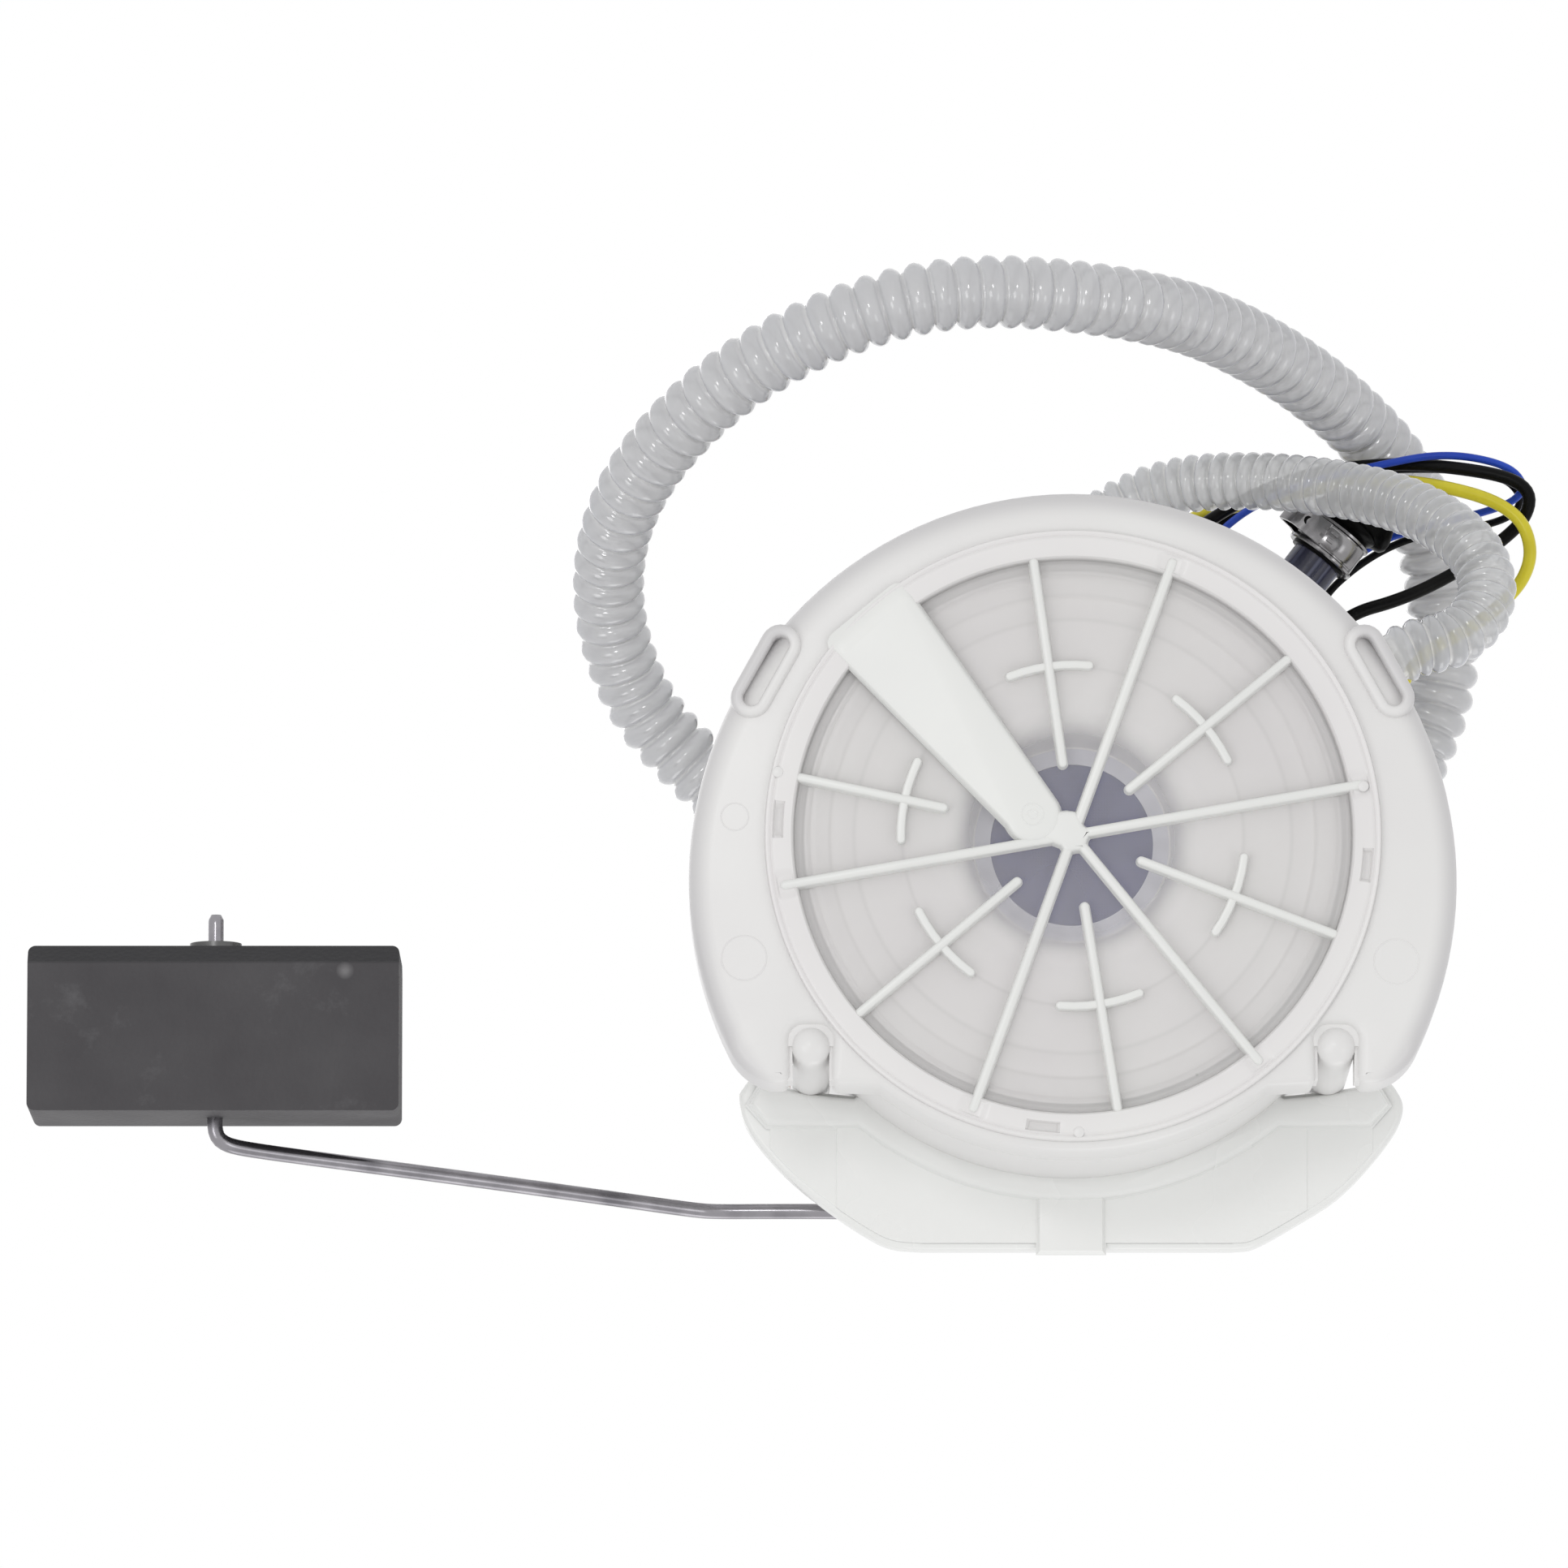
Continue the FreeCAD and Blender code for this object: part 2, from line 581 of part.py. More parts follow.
def flange():
    top = FLANGE_Z + FLANGE_T
    disc = rod(0, FLANGE_Y, FLANGE_Z, top, FLANGE_R)
    bosses = [rod(side * ROD_X, ROD_Y, FLANGE_Z - 8, FLANGE_Z, ROD_R + 2.4) for side in (-1, 1)]
    sockets = [rod(side * ROD_X, ROD_Y, FLANGE_Z - 9, FLANGE_Z - 0.5, ROD_R) for side in (-1, 1)]
    end = V(*BIG_ROUTE[-1])
    way = V(*BIG_ROUTE[-2]) - end
    way.z = 0
    post = end - way.normalize() * 10
    port = side_nipple(post.x, post.y, FLANGE_Z, end.z, way, 18)
    outlet = block(*OUTLET_X, WIRE_EXIT_Y - OUTLET_DEEP, WIRE_EXIT_Y, FLANGE_Z - OUTLET_DROP, FLANGE_Z)
    body = joined(disc, port, outlet, *bosses)
    return body.cut(Part.makeCompound(sockets))


def flange_seal():
    return pipe(0, FLANGE_Y, FLANGE_Z - SEAL_T, FLANGE_Z, FLANGE_R - 1, FLANGE_R - 1 - SEAL_W)


def delivery_pipe():
    top = FLANGE_Z + FLANGE_T
    body = joined(rod(*DELIVERY, top, top + DELIVERY_RISE, NIPPLE_R), rod(*DELIVERY, top, top + 4, NIPPLE_R + 2.5))
    return body.cut(rod(*DELIVERY, top + 1, top + DELIVERY_RISE + 1, NIPPLE_BORE))


def connector_socket():
    top = FLANGE_Z + FLANGE_T
    body = block(*SOCKET_X, *SOCKET_Y, top, top + SOCKET_RISE)
    body = body.makeFillet(SOCKET_WALL + 1, [e for e in body.Edges if e.BoundBox.ZLength > SOCKET_RISE / 2])
    return body.cut(block(SOCKET_X[0] + SOCKET_WALL, SOCKET_X[1] - SOCKET_WALL, SOCKET_Y[0] + SOCKET_WALL,
                          SOCKET_Y[1] - SOCKET_WALL, top + SOCKET_FLOOR, top + SOCKET_RISE + 1))


def connector_pins():
    top = FLANGE_Z + FLANGE_T
    middle = (SOCKET_Y[0] + SOCKET_Y[1]) / 2
    pins = [block(x - 0.4, x + 0.4, middle - 1, middle + 1, top + SOCKET_FLOOR, top + PIN_RISE) for x in PIN_X]
    return Part.makeCompound(pins)


STUB_START = V(*STUB_NIPPLE)
STUB_WAY = V(-0.61, 0.79, 0).normalize()


def hose_stub():
    start = STUB_START + STUB_WAY * 5
    body = rod_along(start, STUB_WAY, STUB_LONG, NIPPLE_R + 0.7)
    return body.cut(rod_along(start, STUB_WAY, 9.0, NIPPLE_R))


def rubber_elbow():
    mouth = STUB_START + STUB_WAY * (STUB_LONG + 0.5)
    corner = mouth + STUB_WAY * 9.5
    end = corner + V(-0.97, -0.1, 0.2).normalize() * 7.0
    route = Route([tuple(mouth), tuple(corner), tuple(end)])
    rings = [ring(route, s, ELBOW_R, 12) for s in route.stations(0.4)]
    return Part.makeLoft(rings, True, True).cut(rod_along(mouth, STUB_WAY, 4.5, NIPPLE_R + 0.7))


def ear_clamp():
    edge = STUB_START + STUB_WAY * (STUB_LONG + 1.0)
    band = rod_along(edge, STUB_WAY, CLAMP_WIDE, ELBOW_R + 0.7).cut(rod_along(edge, STUB_WAY, CLAMP_WIDE, ELBOW_R))
    side = V(0.79, 0.61, 0)
    ear = Part.makeBox(EAR_WIDE, 3.4, 4.6)
    ear.rotate(V(0, 0, 0), UP, math.degrees(math.atan2(STUB_WAY.y, STUB_WAY.x)))
    ear.translate(edge + STUB_WAY * ((CLAMP_WIDE - EAR_WIDE) / 2) + side * (ELBOW_R + 3.9) - V(0, 0, 2.3))
    return band.fuse(ear)


def sender_carrier():
    outline = [V(x, y, SHELF_Z) for x, y in SHELF_OUTLINE]
    face = Part.Face(Part.makePolygon(outline + outline[:1]))
    tray = face.extrude(V(0, 0, RIM_Z - SHELF_Z))
    inset = face.makeOffset2D(-SHELF_T).extrude(V(0, 0, RIM_Z - SHELF_Z))
    inset.translate(V(0, 0, SHELF_T))
    tray = tray.cut(inset)
    lip = joined(block(-POT_R, POT_R, -LIP_FRONT, -POT_FRONT / 2, LIP_Z, SHELF_Z + SHELF_T),
                 rod(0, 0, LIP_Z, SHELF_Z + SHELF_T, BULGE_R + 1.0))
    lip = lip.makeChamfer(1.0, [e for e in lip.Edges if abs(e.BoundBox.ZMax - LIP_Z) < 1e-6 and
                                e.BoundBox.YMax < -LIP_FRONT + 20])
    lip = lip.common(face.extrude(V(0, 0, SHELF_T * 2)).fuse(face.extrude(V(0, 0, -SHELF_T * 2))))
    middle = block(-5.6, 5.0, -62, -52, SHELF_Z - 1.0, SHELF_Z)
    middle = middle.makeFillet(0.9, [e for e in middle.Edges if e.BoundBox.YLength > 5 and
                                     e.BoundBox.ZMax < SHELF_Z - 0.5])
    step_a = block(CREASES[0], 60, -70, -30, SHELF_Z - 1, SHELF_Z + 0.5)
    step_b = block(-60, CREASES[1], -70, -30, SHELF_Z - 1, SHELF_Z + 0.5)
    tray = tray.cut(Part.makeCompound([step_a, step_b]))
    saddle = block(-17, 17, SADDLE_Y, -44, SHELF_Z + SHELF_T - 0.5, SADDLE_TOP)
    body = joined(tray, lip, middle, saddle)
    held = [rod(side * NOTCH_X, POST_Y, 0, POT_TOP, POST_R + FIT) for side in (-1, 1)]
    body = body.cut(joined(rod(0, 0, FLOOR_Z, POT_TOP, BULGE_R), *held))
    return max(body.Solids, key=lambda s: s.Volume)


def sender_housing():
    x, z = PIVOT
    front = SADDLE_Y - HOUSING_T
    plate = block(x - HOUSING_SIDES[0], x + HOUSING_SIDES[1], front, SADDLE_Y, SHELF_Z + SHELF_T, HOUSING_TOP)
    return plate.cut(rod_y(x, z, front - 1, SADDLE_Y + 1, PIVOT_R + FIT))


def resistor_board():
    x, z = PIVOT
    front = SADDLE_Y - HOUSING_T
    return block(x - BOARD[0], x + BOARD[1], front - 0.5, front, z + BOARD[2], z + BOARD[3])


def arm_hub():
    x, z = PIVOT
    back = SADDLE_Y - HOUSING_T - HUB_GAP
    hub = rod_y(x, z, back - HUB_T, back, HUB_DISC_R)
    groove = block(x - 10, x + 15, back - HUB_T - 1, back - HUB_T / 2 + WIRE_R, z - WIRE_R, z + WIRE_R)
    pin = rod_y(x, z, back - 1, SADDLE_Y - HUB_GAP, PIVOT_R)
    finger = block(x - 3, x + 3, back - HUB_T + 0.2, back - 1.6, z, z + 20)
    body = joined(hub, pin, finger)
    return body.cut(groove)


def wiper_contacts():
    x, z = PIVOT
    back = SADDLE_Y - HOUSING_T - HUB_GAP
    strips = [block(x + at - 0.5, x + at + 0.5, back - 1.6, back - 0.5, z + 11, z + 19) for at in (-1.5, 1.5)]
    return Part.makeCompound(strips)


def float_arm():
    x, z = PIVOT
    run = SADDLE_Y - HOUSING_T - HUB_GAP - HUB_T / 2
    points = [(x - 8.5, run, z), (x + HOUSING_SIDES[1] + 9, run, z)] + list(ARM_POINTS)
    return bent_wire(points, WIRE_R)


def float_block():
    x0 = FLOAT_X - FLOAT_LONG / 2
    x1 = FLOAT_X + FLOAT_LONG / 2
    z0 = FLOAT_Z - FLOAT_TALL / 2
    z1 = FLOAT_Z + FLOAT_TALL / 2
    back = FLOAT_FRONT + FLOAT_DEEP
    body = block(x0, x1, FLOAT_FRONT, back, z0, z1)
    rear = [e for e in body.Edges if e.BoundBox.XLength > 10 and abs(e.BoundBox.YMax - back) < 1e-6]
    body = body.makeChamfer(3.0, rear)
    ends = [e for e in body.Edges if e.BoundBox.ZLength > FLOAT_TALL / 2]
    body = body.makeFillet(1.2, ends)
    return body.cut(rod_y(FLOAT_X, FLOAT_Z, FLOAT_FRONT - 1, back + 1, WIRE_R + FIT))


def float_clip():
    back = FLOAT_FRONT + FLOAT_DEEP
    return rod_y(FLOAT_X, FLOAT_Z, back + 0.3, back + 1.3, 4.2).cut(
        rod_y(FLOAT_X, FLOAT_Z, back, back + 2, WIRE_R))


os.makedirs("parts", exist_ok=True)
MADE = (
    pot_shell, bottom_plate, inlet_strainer, inlet_cap, filter_element, pump_holder, pump_can, outlet_cap, pot_lid,
    wire_plug, guide_rods, guide_springs, flange, flange_seal, delivery_pipe, connector_socket, connector_pins,
    hose_stub, rubber_elbow, ear_clamp, sender_carrier, sender_housing, resistor_board, arm_hub, wiper_contacts,
    float_arm, float_block, float_clip,
)
for make in MADE:
    saved(make.__name__, make())
saved("big_hose", corrugated("big_hose", BIG_ROUTE, BIG_HOSE, BIG_GROOVE, NIPPLE_R, BIG_PITCH, HOSE_CUFF))
saved("small_hose", corrugated("small_hose", SMALL_ROUTE, SMALL_HOSE, SMALL_GROOVE, SMALL_NIPPLE_R, SMALL_PITCH,
                               HOSE_CUFF))
saved("blue_wire", wire_tube("blue_wire", BLUE_ROUTE, THIN_WIRE))
saved("thin_black_wire", wire_tube("thin_black_wire", THIN_ROUTE, THIN_WIRE))
saved("black_wire", wire_tube("black_wire", BLACK_ROUTE, THICK_WIRE))
saved("yellow_wire", wire_tube("yellow_wire", YELLOW_ROUTE, THICK_WIRE))
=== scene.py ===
import math

import bmesh
import bpy
from mathutils import Matrix, Vector


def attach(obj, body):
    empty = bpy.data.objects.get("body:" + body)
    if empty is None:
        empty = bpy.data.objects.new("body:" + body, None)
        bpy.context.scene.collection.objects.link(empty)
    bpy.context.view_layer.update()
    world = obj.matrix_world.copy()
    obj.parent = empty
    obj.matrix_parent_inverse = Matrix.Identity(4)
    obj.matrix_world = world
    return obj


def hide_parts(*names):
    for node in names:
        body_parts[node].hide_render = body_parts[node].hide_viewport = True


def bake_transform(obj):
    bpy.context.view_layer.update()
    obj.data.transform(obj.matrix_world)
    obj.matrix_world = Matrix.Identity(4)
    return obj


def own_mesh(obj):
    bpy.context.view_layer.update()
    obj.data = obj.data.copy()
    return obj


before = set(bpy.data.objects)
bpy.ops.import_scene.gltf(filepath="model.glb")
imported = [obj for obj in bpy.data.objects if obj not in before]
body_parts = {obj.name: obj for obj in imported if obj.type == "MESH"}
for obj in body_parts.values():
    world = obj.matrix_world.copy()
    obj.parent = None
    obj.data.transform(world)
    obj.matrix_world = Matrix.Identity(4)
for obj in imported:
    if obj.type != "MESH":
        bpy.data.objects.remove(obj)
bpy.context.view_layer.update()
scene = bpy.context.scene

# ------------------------------------------------------------------------------
# The view. The module is photographed from beneath with a long lens, its sender towards the bottom of the
# picture, so the camera stands 2.4 m below the tank floor and leans 8 degrees to look up the front of the pot.


def put(name, data):
    """A new object in the scene."""
    made = bpy.data.objects.new(name, data)
    scene.collection.objects.link(made)
    return made


def mesh_of(name, bm, material):
    """The mesh of what was built, with its finish."""
    made = bpy.data.meshes.new(name)
    bm.to_mesh(made)
    bm.free()
    made.materials.append(material)
    return made


def feed(node, key, source):
    """Gives a shader node's input its value, or links it to another node: to its first output, or to the output that
    is named beside the node in a pair."""
    links, socket = node.id_data.links, node.inputs[key]
    if isinstance(source, bpy.types.Node):
        links.new(next(o for o in source.outputs if o.enabled), socket)
    elif isinstance(source, tuple) and isinstance(source[0], bpy.types.Node):
        links.new(source[0].outputs[source[1]], socket)
    else:
        socket.default_value = source


def add(tree, kind, *sources, **values):
    """A shader node, with what feeds its inputs in their order, and then its settings and the inputs with names. It
    is placed to the right of the nodes that feed it."""
    node = tree.nodes.new("ShaderNode" + kind)
    fed = dict(enumerate(sources))
    for key, value in values.items():
        if hasattr(node, key):
            setattr(node, key, value)
        else:
            fed[key.replace("_", " ")] = value
    for key, source in fed.items():
        feed(node, key, source)
    before = [link.from_node.location.x for link in tree.links if link.to_node == node]
    node.location = max(before, default=-1200) + 200, -180 * (len(tree.nodes) % 6)
    return node


def maths(tree, operation, a, b, **settings):
    """A node that works with two numbers."""
    return add(tree, "Math", a, b, operation=operation, **settings)


def fit(tree, source, low=0, high=1, to=(0, 1), **settings):
    """A node that fits the range between two values to another range."""
    return add(tree, "MapRange", source, low, high, *to, **settings)


LEAN = math.radians(8)
lens = bpy.data.cameras.new("camera")
lens.lens = 344
lens.sensor_width = 36
lens.clip_start, lens.clip_end = 0.2, 20
camera = put("camera", lens)
camera.matrix_world = Matrix((
    (-1, 0, 0, 0.0463),
    (0, math.cos(LEAN), -math.sin(LEAN), -0.3259),
    (0, -math.sin(LEAN), -math.cos(LEAN), -2.3766),
    (0, 0, 0, 1),
))
scene.camera = camera
scene.view_settings.view_transform = "Standard"

# The white surround. It shows as plain white, also in gloss and through clear parts, and lights the module evenly.
surround = bpy.data.worlds.new("surround")
scene.world = surround
surround.use_nodes = True
tree = surround.node_tree
tree.nodes.clear()
ray = add(tree, "LightPath")
seen = maths(tree, "MAXIMUM", (ray, "Is Camera Ray"), (ray, "Is Glossy Ray"))
seen_all = maths(tree, "MAXIMUM", seen, (ray, "Is Transmission Ray"))
strength = fit(tree, seen_all, to=(0.76, 1))
air = add(tree, "Background", Color=(1, 1, 1, 1), Strength=strength)
add(tree, "OutputWorld", air)

# The soft lamps: one near the camera that puts the short highlights on the hose ribs, two low in front of the
# module, one in front and one above. All point at the middle of the module.
for name, place, size, watts in (
    ("lamp_by_camera", (0.4, 0.35, -1.85), 0.32, 3),
    ("lamp_below_left", (0.75, -0.3, -1.1), 0.5, 1.9),
    ("lamp_below_right", (-0.85, -0.45, -0.95), 0.5, 1),
    ("lamp_front", (-0.25, -1.35, 0.55), 0.8, 2.4),
    ("lamp_above", (0.55, 0.45, 1.35), 0.9, 2.2),
):
    lamp = bpy.data.lights.new(name, "AREA")
    lamp.shape, lamp.size, lamp.energy = "SQUARE", size, watts
    holder = put(name, lamp)
    holder.location = place
    holder.rotation_euler = (Vector((0.02, 0, 0.07)) - Vector(place)).to_track_quat("-Z", "Y").to_euler()

# The table top that the module stands on. Only its upper face shows, with the module's shadow, so the view from
# beneath looks straight through it, and the light passes it both ways.
TABLE_R, TABLE_Z, TABLE_SIDES = 2.6, -0.0004, 96


def ring_of(bm, radius, z, sides):
    """A ring of vertices round the module's axis."""
    turns = [math.tau * k / sides for k in range(sides)]
    return [bm.verts.new((radius * math.cos(a), radius * math.sin(a), z)) for a in turns]


paper = bpy.data.materials.new("table_paper")
paper.use_nodes = True
tree = paper.node_tree
tree.nodes.clear()
face = add(tree, "NewGeometry")
front = maths(tree, "SUBTRACT", 1, (face, "Backfacing"))
shows = maths(tree, "MULTIPLY", (add(tree, "LightPath"), "Is Camera Ray"), front)
fibre = add(tree, "TexNoise", Scale=160, Detail=4)
tone = fit(tree, fibre, to=(0.9, 0.94))
mix = add(tree, "MixShader", shows, add(tree, "BsdfTransparent"), add(tree, "BsdfDiffuse", tone))
add(tree, "OutputMaterial", mix)
board = bmesh.new()
board.faces.new(ring_of(board, TABLE_R, TABLE_Z, TABLE_SIDES))
table_top = put("table_top", mesh_of("table_top", board, paper))

# ------------------------------------------------------------------------------
# The corrugated nylon hoses. Both are blown from clear-white nylon with round ribs and pushed over nipples by a
# smooth cuff. The big one runs from the lid round the back up to the flange, the small one from the pot's side
# to the lid.
BIG_RUN = (
    (50, 16.7, 110), (60.5, 25.4, 109.6), (71.8, 37.6, 106.5), (76.8, 54, 95), (72.6, 69, 79), (58, 83, 64),
    (38.5, 93, 56), (17, 98.5, 55), (-10.1, 97.9, 65), (-27, 96.9, 86), (-45.4, 90.2, 111), (-60.3, 77.9, 130),
    (-65.2, 60.9, 135), (-66.2, 45, 137.5), (-58, 25.5, 138), (-48.5, 9.5, 138),
)
SMALL_RUN = (
    (-48, 34.2, 62), (-56, 39.3, 62), (-64.5, 41, 63.5), (-69.8, 46.8, 67), (-69.8, 54.5, 71.5), (-65, 61.5, 77.5),
    (-56.5, 67.6, 86), (-45.5, 71.6, 95.5), (-32.5, 74.2, 103.5), (-18, 74.4, 110), (-6, 68.8, 112.2),
    (3, 59.4, 111.5), (9, 51.4, 111.5),
)
BIG_PITCH, BIG_CREST, BIG_GROOVE = 0.0039, 0.0061, 0.0046
SMALL_PITCH, SMALL_CREST, SMALL_GROOVE = 0.0027, 0.0049, 0.0037
CUFF, HOSE_SIDES = 0.0075, 28


def flowing_line(run):
    """The smooth line through a hose or wire's run, in metres, read from its NURBS spline."""
    curve = bpy.data.curves.new("run", "CURVE")
    curve.dimensions = "3D"
    spline = curve.splines.new("NURBS")
    spline.points.add(len(run) - 1)
    for point, place in zip(spline.points, run):
        point.co = [c / 1000 for c in place] + [1]
    spline.order_u = 3
    spline.use_endpoint_u = True
    curve.resolution_u = 24
    holder = bpy.data.objects.new("run", curve)
    bare = bpy.data.meshes.new_from_object(holder)
    line = [v.co.copy() for v in bare.vertices]
    bpy.data.objects.remove(holder)
    bpy.data.meshes.remove(bare)
    bpy.data.curves.remove(curve)
    return line


def skin_between(bm, a, b, closed=True):
    """Skins the gap between two rings of vertices."""
    for k in range(len(a) if closed else len(a) - 1):
        n = (k + 1) % len(a)
        bm.faces.new((a[k], a[n], b[n], b[k]))


def tube_along(name, material, line, step, sides, radius_at, bore=0, stations=None):
    """A round tube along a line, with a ring at each step or at the distances that stations gives for its length.
    radius_at gives its radius and its rib height from 0 to 1 at a distance."""
    marks = [0]
    for a, b in zip(line, line[1:]):
        marks.append(marks[-1] + (b - a).length)
    length = marks[-1]
    count = max(8, round(length / step))
    distances = stations(length) if stations else [length * i / count for i in range(count + 1)]
    bm = bmesh.new()
    high = bm.verts.layers.float.new("rib")
    rings, at, up = [], 0, None
    for s in distances:
        while at < len(line) - 2 and marks[at + 1] < s:
            at += 1
        share = (s - marks[at]) / max(marks[at + 1] - marks[at], 1e-9)
        centre = line[at].lerp(line[at + 1], share)
        ahead = (line[min(at + 2, len(line) - 1)] - line[max(at - 1, 0)]).normalized()
        if up is None:
            up = ahead.orthogonal()
        up = (up - ahead * up.dot(ahead)).normalized()
        side = ahead.cross(up)
        radius, rib = radius_at(s, length)
        ring = []
        for k in range(sides):
            a = math.tau * k / sides
            v = bm.verts.new(centre + (up * math.cos(a) + side * math.sin(a)) * radius)
            v[high] = rib
            ring.append(v)
        rings.append(ring)
    if bore:
        for end in (rings[0], rings[-1]):
            middle = sum((v.co for v in end), Vector()) / sides
            skin_between(bm, end, [bm.verts.new(middle + (v.co - middle).normalized() * bore) for v in end])
    else:
        bm.faces.new(rings[0][::-1])
        bm.faces.new(rings[-1])
    for a, b in zip(rings, rings[1:]):
        skin_between(bm, a, b)
    for f in bm.faces:
        f.smooth = len(f.verts) == 4
    bmesh.ops.recalc_face_normals(bm, faces=bm.faces)
    return put(name, mesh_of(name, bm, material))


def at_ribs(pitch, parts=10):
    """The distances at which a corrugated hose gets its rings, the same few on each rib."""
    def stations(length):
        ribs = round((length - 2 * CUFF) / pitch)
        gap = (length - 2 * CUFF) / ribs
        return ([0, CUFF / 2] + [CUFF + gap * i / parts for i in range(ribs * parts + 1)]
                + [length - CUFF / 2, length])
    return stations


def ribbed(pitch, crest, groove):
    """The radius along a corrugated hose: a smooth cuff, round ribs with narrow valleys, and a cuff again."""
    def radius_at(s, length):
        ribs = round((length - 2 * CUFF) / pitch)
        along = (s - CUFF) / (length - 2 * CUFF) * ribs
        if not 0 < along < ribs:
            return groove + 0.0004, 0.3
        swell = abs(math.sin(math.pi * along)) ** 0.65
        return groove + (crest - groove) * swell, swell
    return radius_at


def group_of(name, *inputs):
    """An empty shader group for a finish, with its inputs, each as its name, kind and value."""
    tree = bpy.data.node_groups.new(name, "ShaderNodeTree")
    for label, kind, value in inputs:
        socket = tree.interface.new_socket(label, in_out="INPUT", socket_type="NodeSocket" + kind)
        socket.default_value = value
    for label, kind in (("Colour", "Color"), ("Roughness", "Float"), ("Height", "Float")):
        tree.interface.new_socket(label, in_out="OUTPUT", socket_type="NodeSocket" + kind)
    return tree, tree.nodes.new("NodeGroupInput"), tree.nodes.new("NodeGroupOutput")


def blended(tree, factor, a, b, **settings):
    """A node that blends two colours."""
    return add(tree, "Mix", data_type="RGBA", Factor=factor, A=a, B=b, **settings)


def place_in(tree):
    """The place on the piece."""
    return add(tree, "TexCoord"), "Object"


# Moulded skin: the soft cloud of shade in a plastic, its fine orange-peel and the odd speck in it.
skin, given, got = group_of(
    "moulded_skin", ("Colour", "Color", (0.8, 0.8, 0.8, 1)), ("Shade", "Color", (0.7, 0.7, 0.7, 1)),
    ("Cloud Scale", "Float", 40), ("Peel Scale", "Float", 900), ("Roughness", "Float", 0.4), ("Specks", "Float", 0))
place = place_in(skin)
cloud = add(skin, "TexNoise", place, Scale=(given, "Cloud Scale"), Detail=3, Roughness=0.55)
peel = add(skin, "TexNoise", place, Scale=(given, "Peel Scale"), Detail=2)
speck = add(skin, "TexVoronoi", place, Scale=260)
cloud_fit = fit(skin, cloud, 0.35, 0.68)
tint = blended(skin, cloud_fit, (given, "Colour"), (given, "Shade"))
near = fit(skin, speck, 0, 0.09, (1, 0))
strong = maths(skin, "MULTIPLY", near, (given, "Specks"))
rare = maths(skin, "GREATER_THAN", (speck, "Color"), 0.93)
dot = maths(skin, "MULTIPLY", strong, rare)
rough_fit = fit(skin, cloud, to=(-0.05, 0.07))
feed(got, "Colour", blended(skin, dot, tint, (0.12, 0.11, 0.1, 1)))
feed(got, "Roughness", maths(skin, "ADD", rough_fit, (given, "Roughness")))
feed(got, "Height", peel)


def finish_from(group, name, relief, depth, sockets, **values):
    """A finish whose colour, roughness and relief come from a shader group, with the shader's own even values."""
    material = bpy.data.materials.new(name)
    material.use_nodes = True
    tree, shader = material.node_tree, material.node_tree.nodes["Principled BSDF"]
    coat = add(tree, "Group", node_tree=group, **values)
    feed(shader, "Base Color", (coat, "Colour"))
    feed(shader, "Roughness", (coat, "Roughness"))
    feed(shader, "Normal", add(tree, "Bump", Strength=relief, Distance=depth, Height=(coat, "Height")))
    for key, value in sockets.items():
        shader.inputs[key.replace("_", " ")].default_value = value
    return material


def moulded(name, colour, shade, rough, cloud_scale=40, peel_scale=900, specks=0, bump=0.08, **sockets):
    """A plastic or rubber finish of moulded skin."""
    return finish_from(skin, name, bump, 0.0002, sockets, Colour=(*colour, 1), Shade=(*shade, 1), Roughness=rough,
                       Cloud_Scale=cloud_scale, Peel_Scale=peel_scale, Specks=specks)


def nodes_of(material):
    """A finish's node tree, its shader and the group that colours it."""
    tree = material.node_tree
    return tree, tree.nodes["Principled BSDF"], tree.nodes["Group"]


def ribbed_nylon(name, wall, shaded_flank, painted_glint, rough, clear_face, clear_edge):
    """Clear-white nylon. The wall seen face on is clearest; its flanks get painted shade, darker and bluish towards
    the grazing edges, and its valleys a painted highlight in near white.
    """
    material = moulded(name, wall, wall, rough, 60, 700, 0, 0.05, Specular_IOR_Level=0.8, Coat_Weight=1,
                       Coat_Roughness=0.06, Coat_IOR=1.6)
    tree, shader, coat = nodes_of(material)
    rib = add(tree, "Attribute", attribute_name="rib")
    facing = add(tree, "LayerWeight", Blend=0.35), "Facing"
    low = maths(tree, "SUBTRACT", 1, (rib, "Fac"), use_clamp=True)
    valley = maths(tree, "POWER", low, 2.2)
    # painted shade: the flanks are painted darker and bluish towards the grazing edges
    tone = blended(tree, facing, (*wall, 1), (*shaded_flank, 1))
    # painted highlight: the valleys are painted near white where they would glint
    feed(coat, "Colour", blended(tree, valley, tone, (*painted_glint, 1)))
    milky_side = maths(tree, "MAXIMUM", valley, facing)
    feed(shader, "Alpha", fit(tree, milky_side, to=(clear_face, clear_edge)))
    return material


big_line = flowing_line(BIG_RUN)
big_nylon = ribbed_nylon("clear_nylon_hose", (0.585, 0.585, 0.6), (0.42, 0.43, 0.49), (0.88, 0.88, 0.88), 0.14, 0.66,
                         0.94)
big_hose = tube_along("big_corrugated_hose", big_nylon, big_line, BIG_PITCH / 8, HOSE_SIDES,
                      ribbed(BIG_PITCH, BIG_CREST, BIG_GROOVE), 0.004, at_ribs(BIG_PITCH))
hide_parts("big_hose")
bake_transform(big_hose)

small_line = flowing_line(SMALL_RUN)
small_nylon = ribbed_nylon("clear_nylon_small_hose", (0.6, 0.605, 0.61), (0.46, 0.475, 0.56), (0.97, 0.96, 0.93), 0.12,
                           0.6, 0.93)
small_hose = tube_along("small_corrugated_hose", small_nylon, small_line, SMALL_PITCH / 8, HOSE_SIDES,
                        ribbed(SMALL_PITCH, SMALL_CREST, SMALL_GROOVE), 0.0031, at_ribs(SMALL_PITCH))
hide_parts("small_hose")
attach(small_hose, "pot")

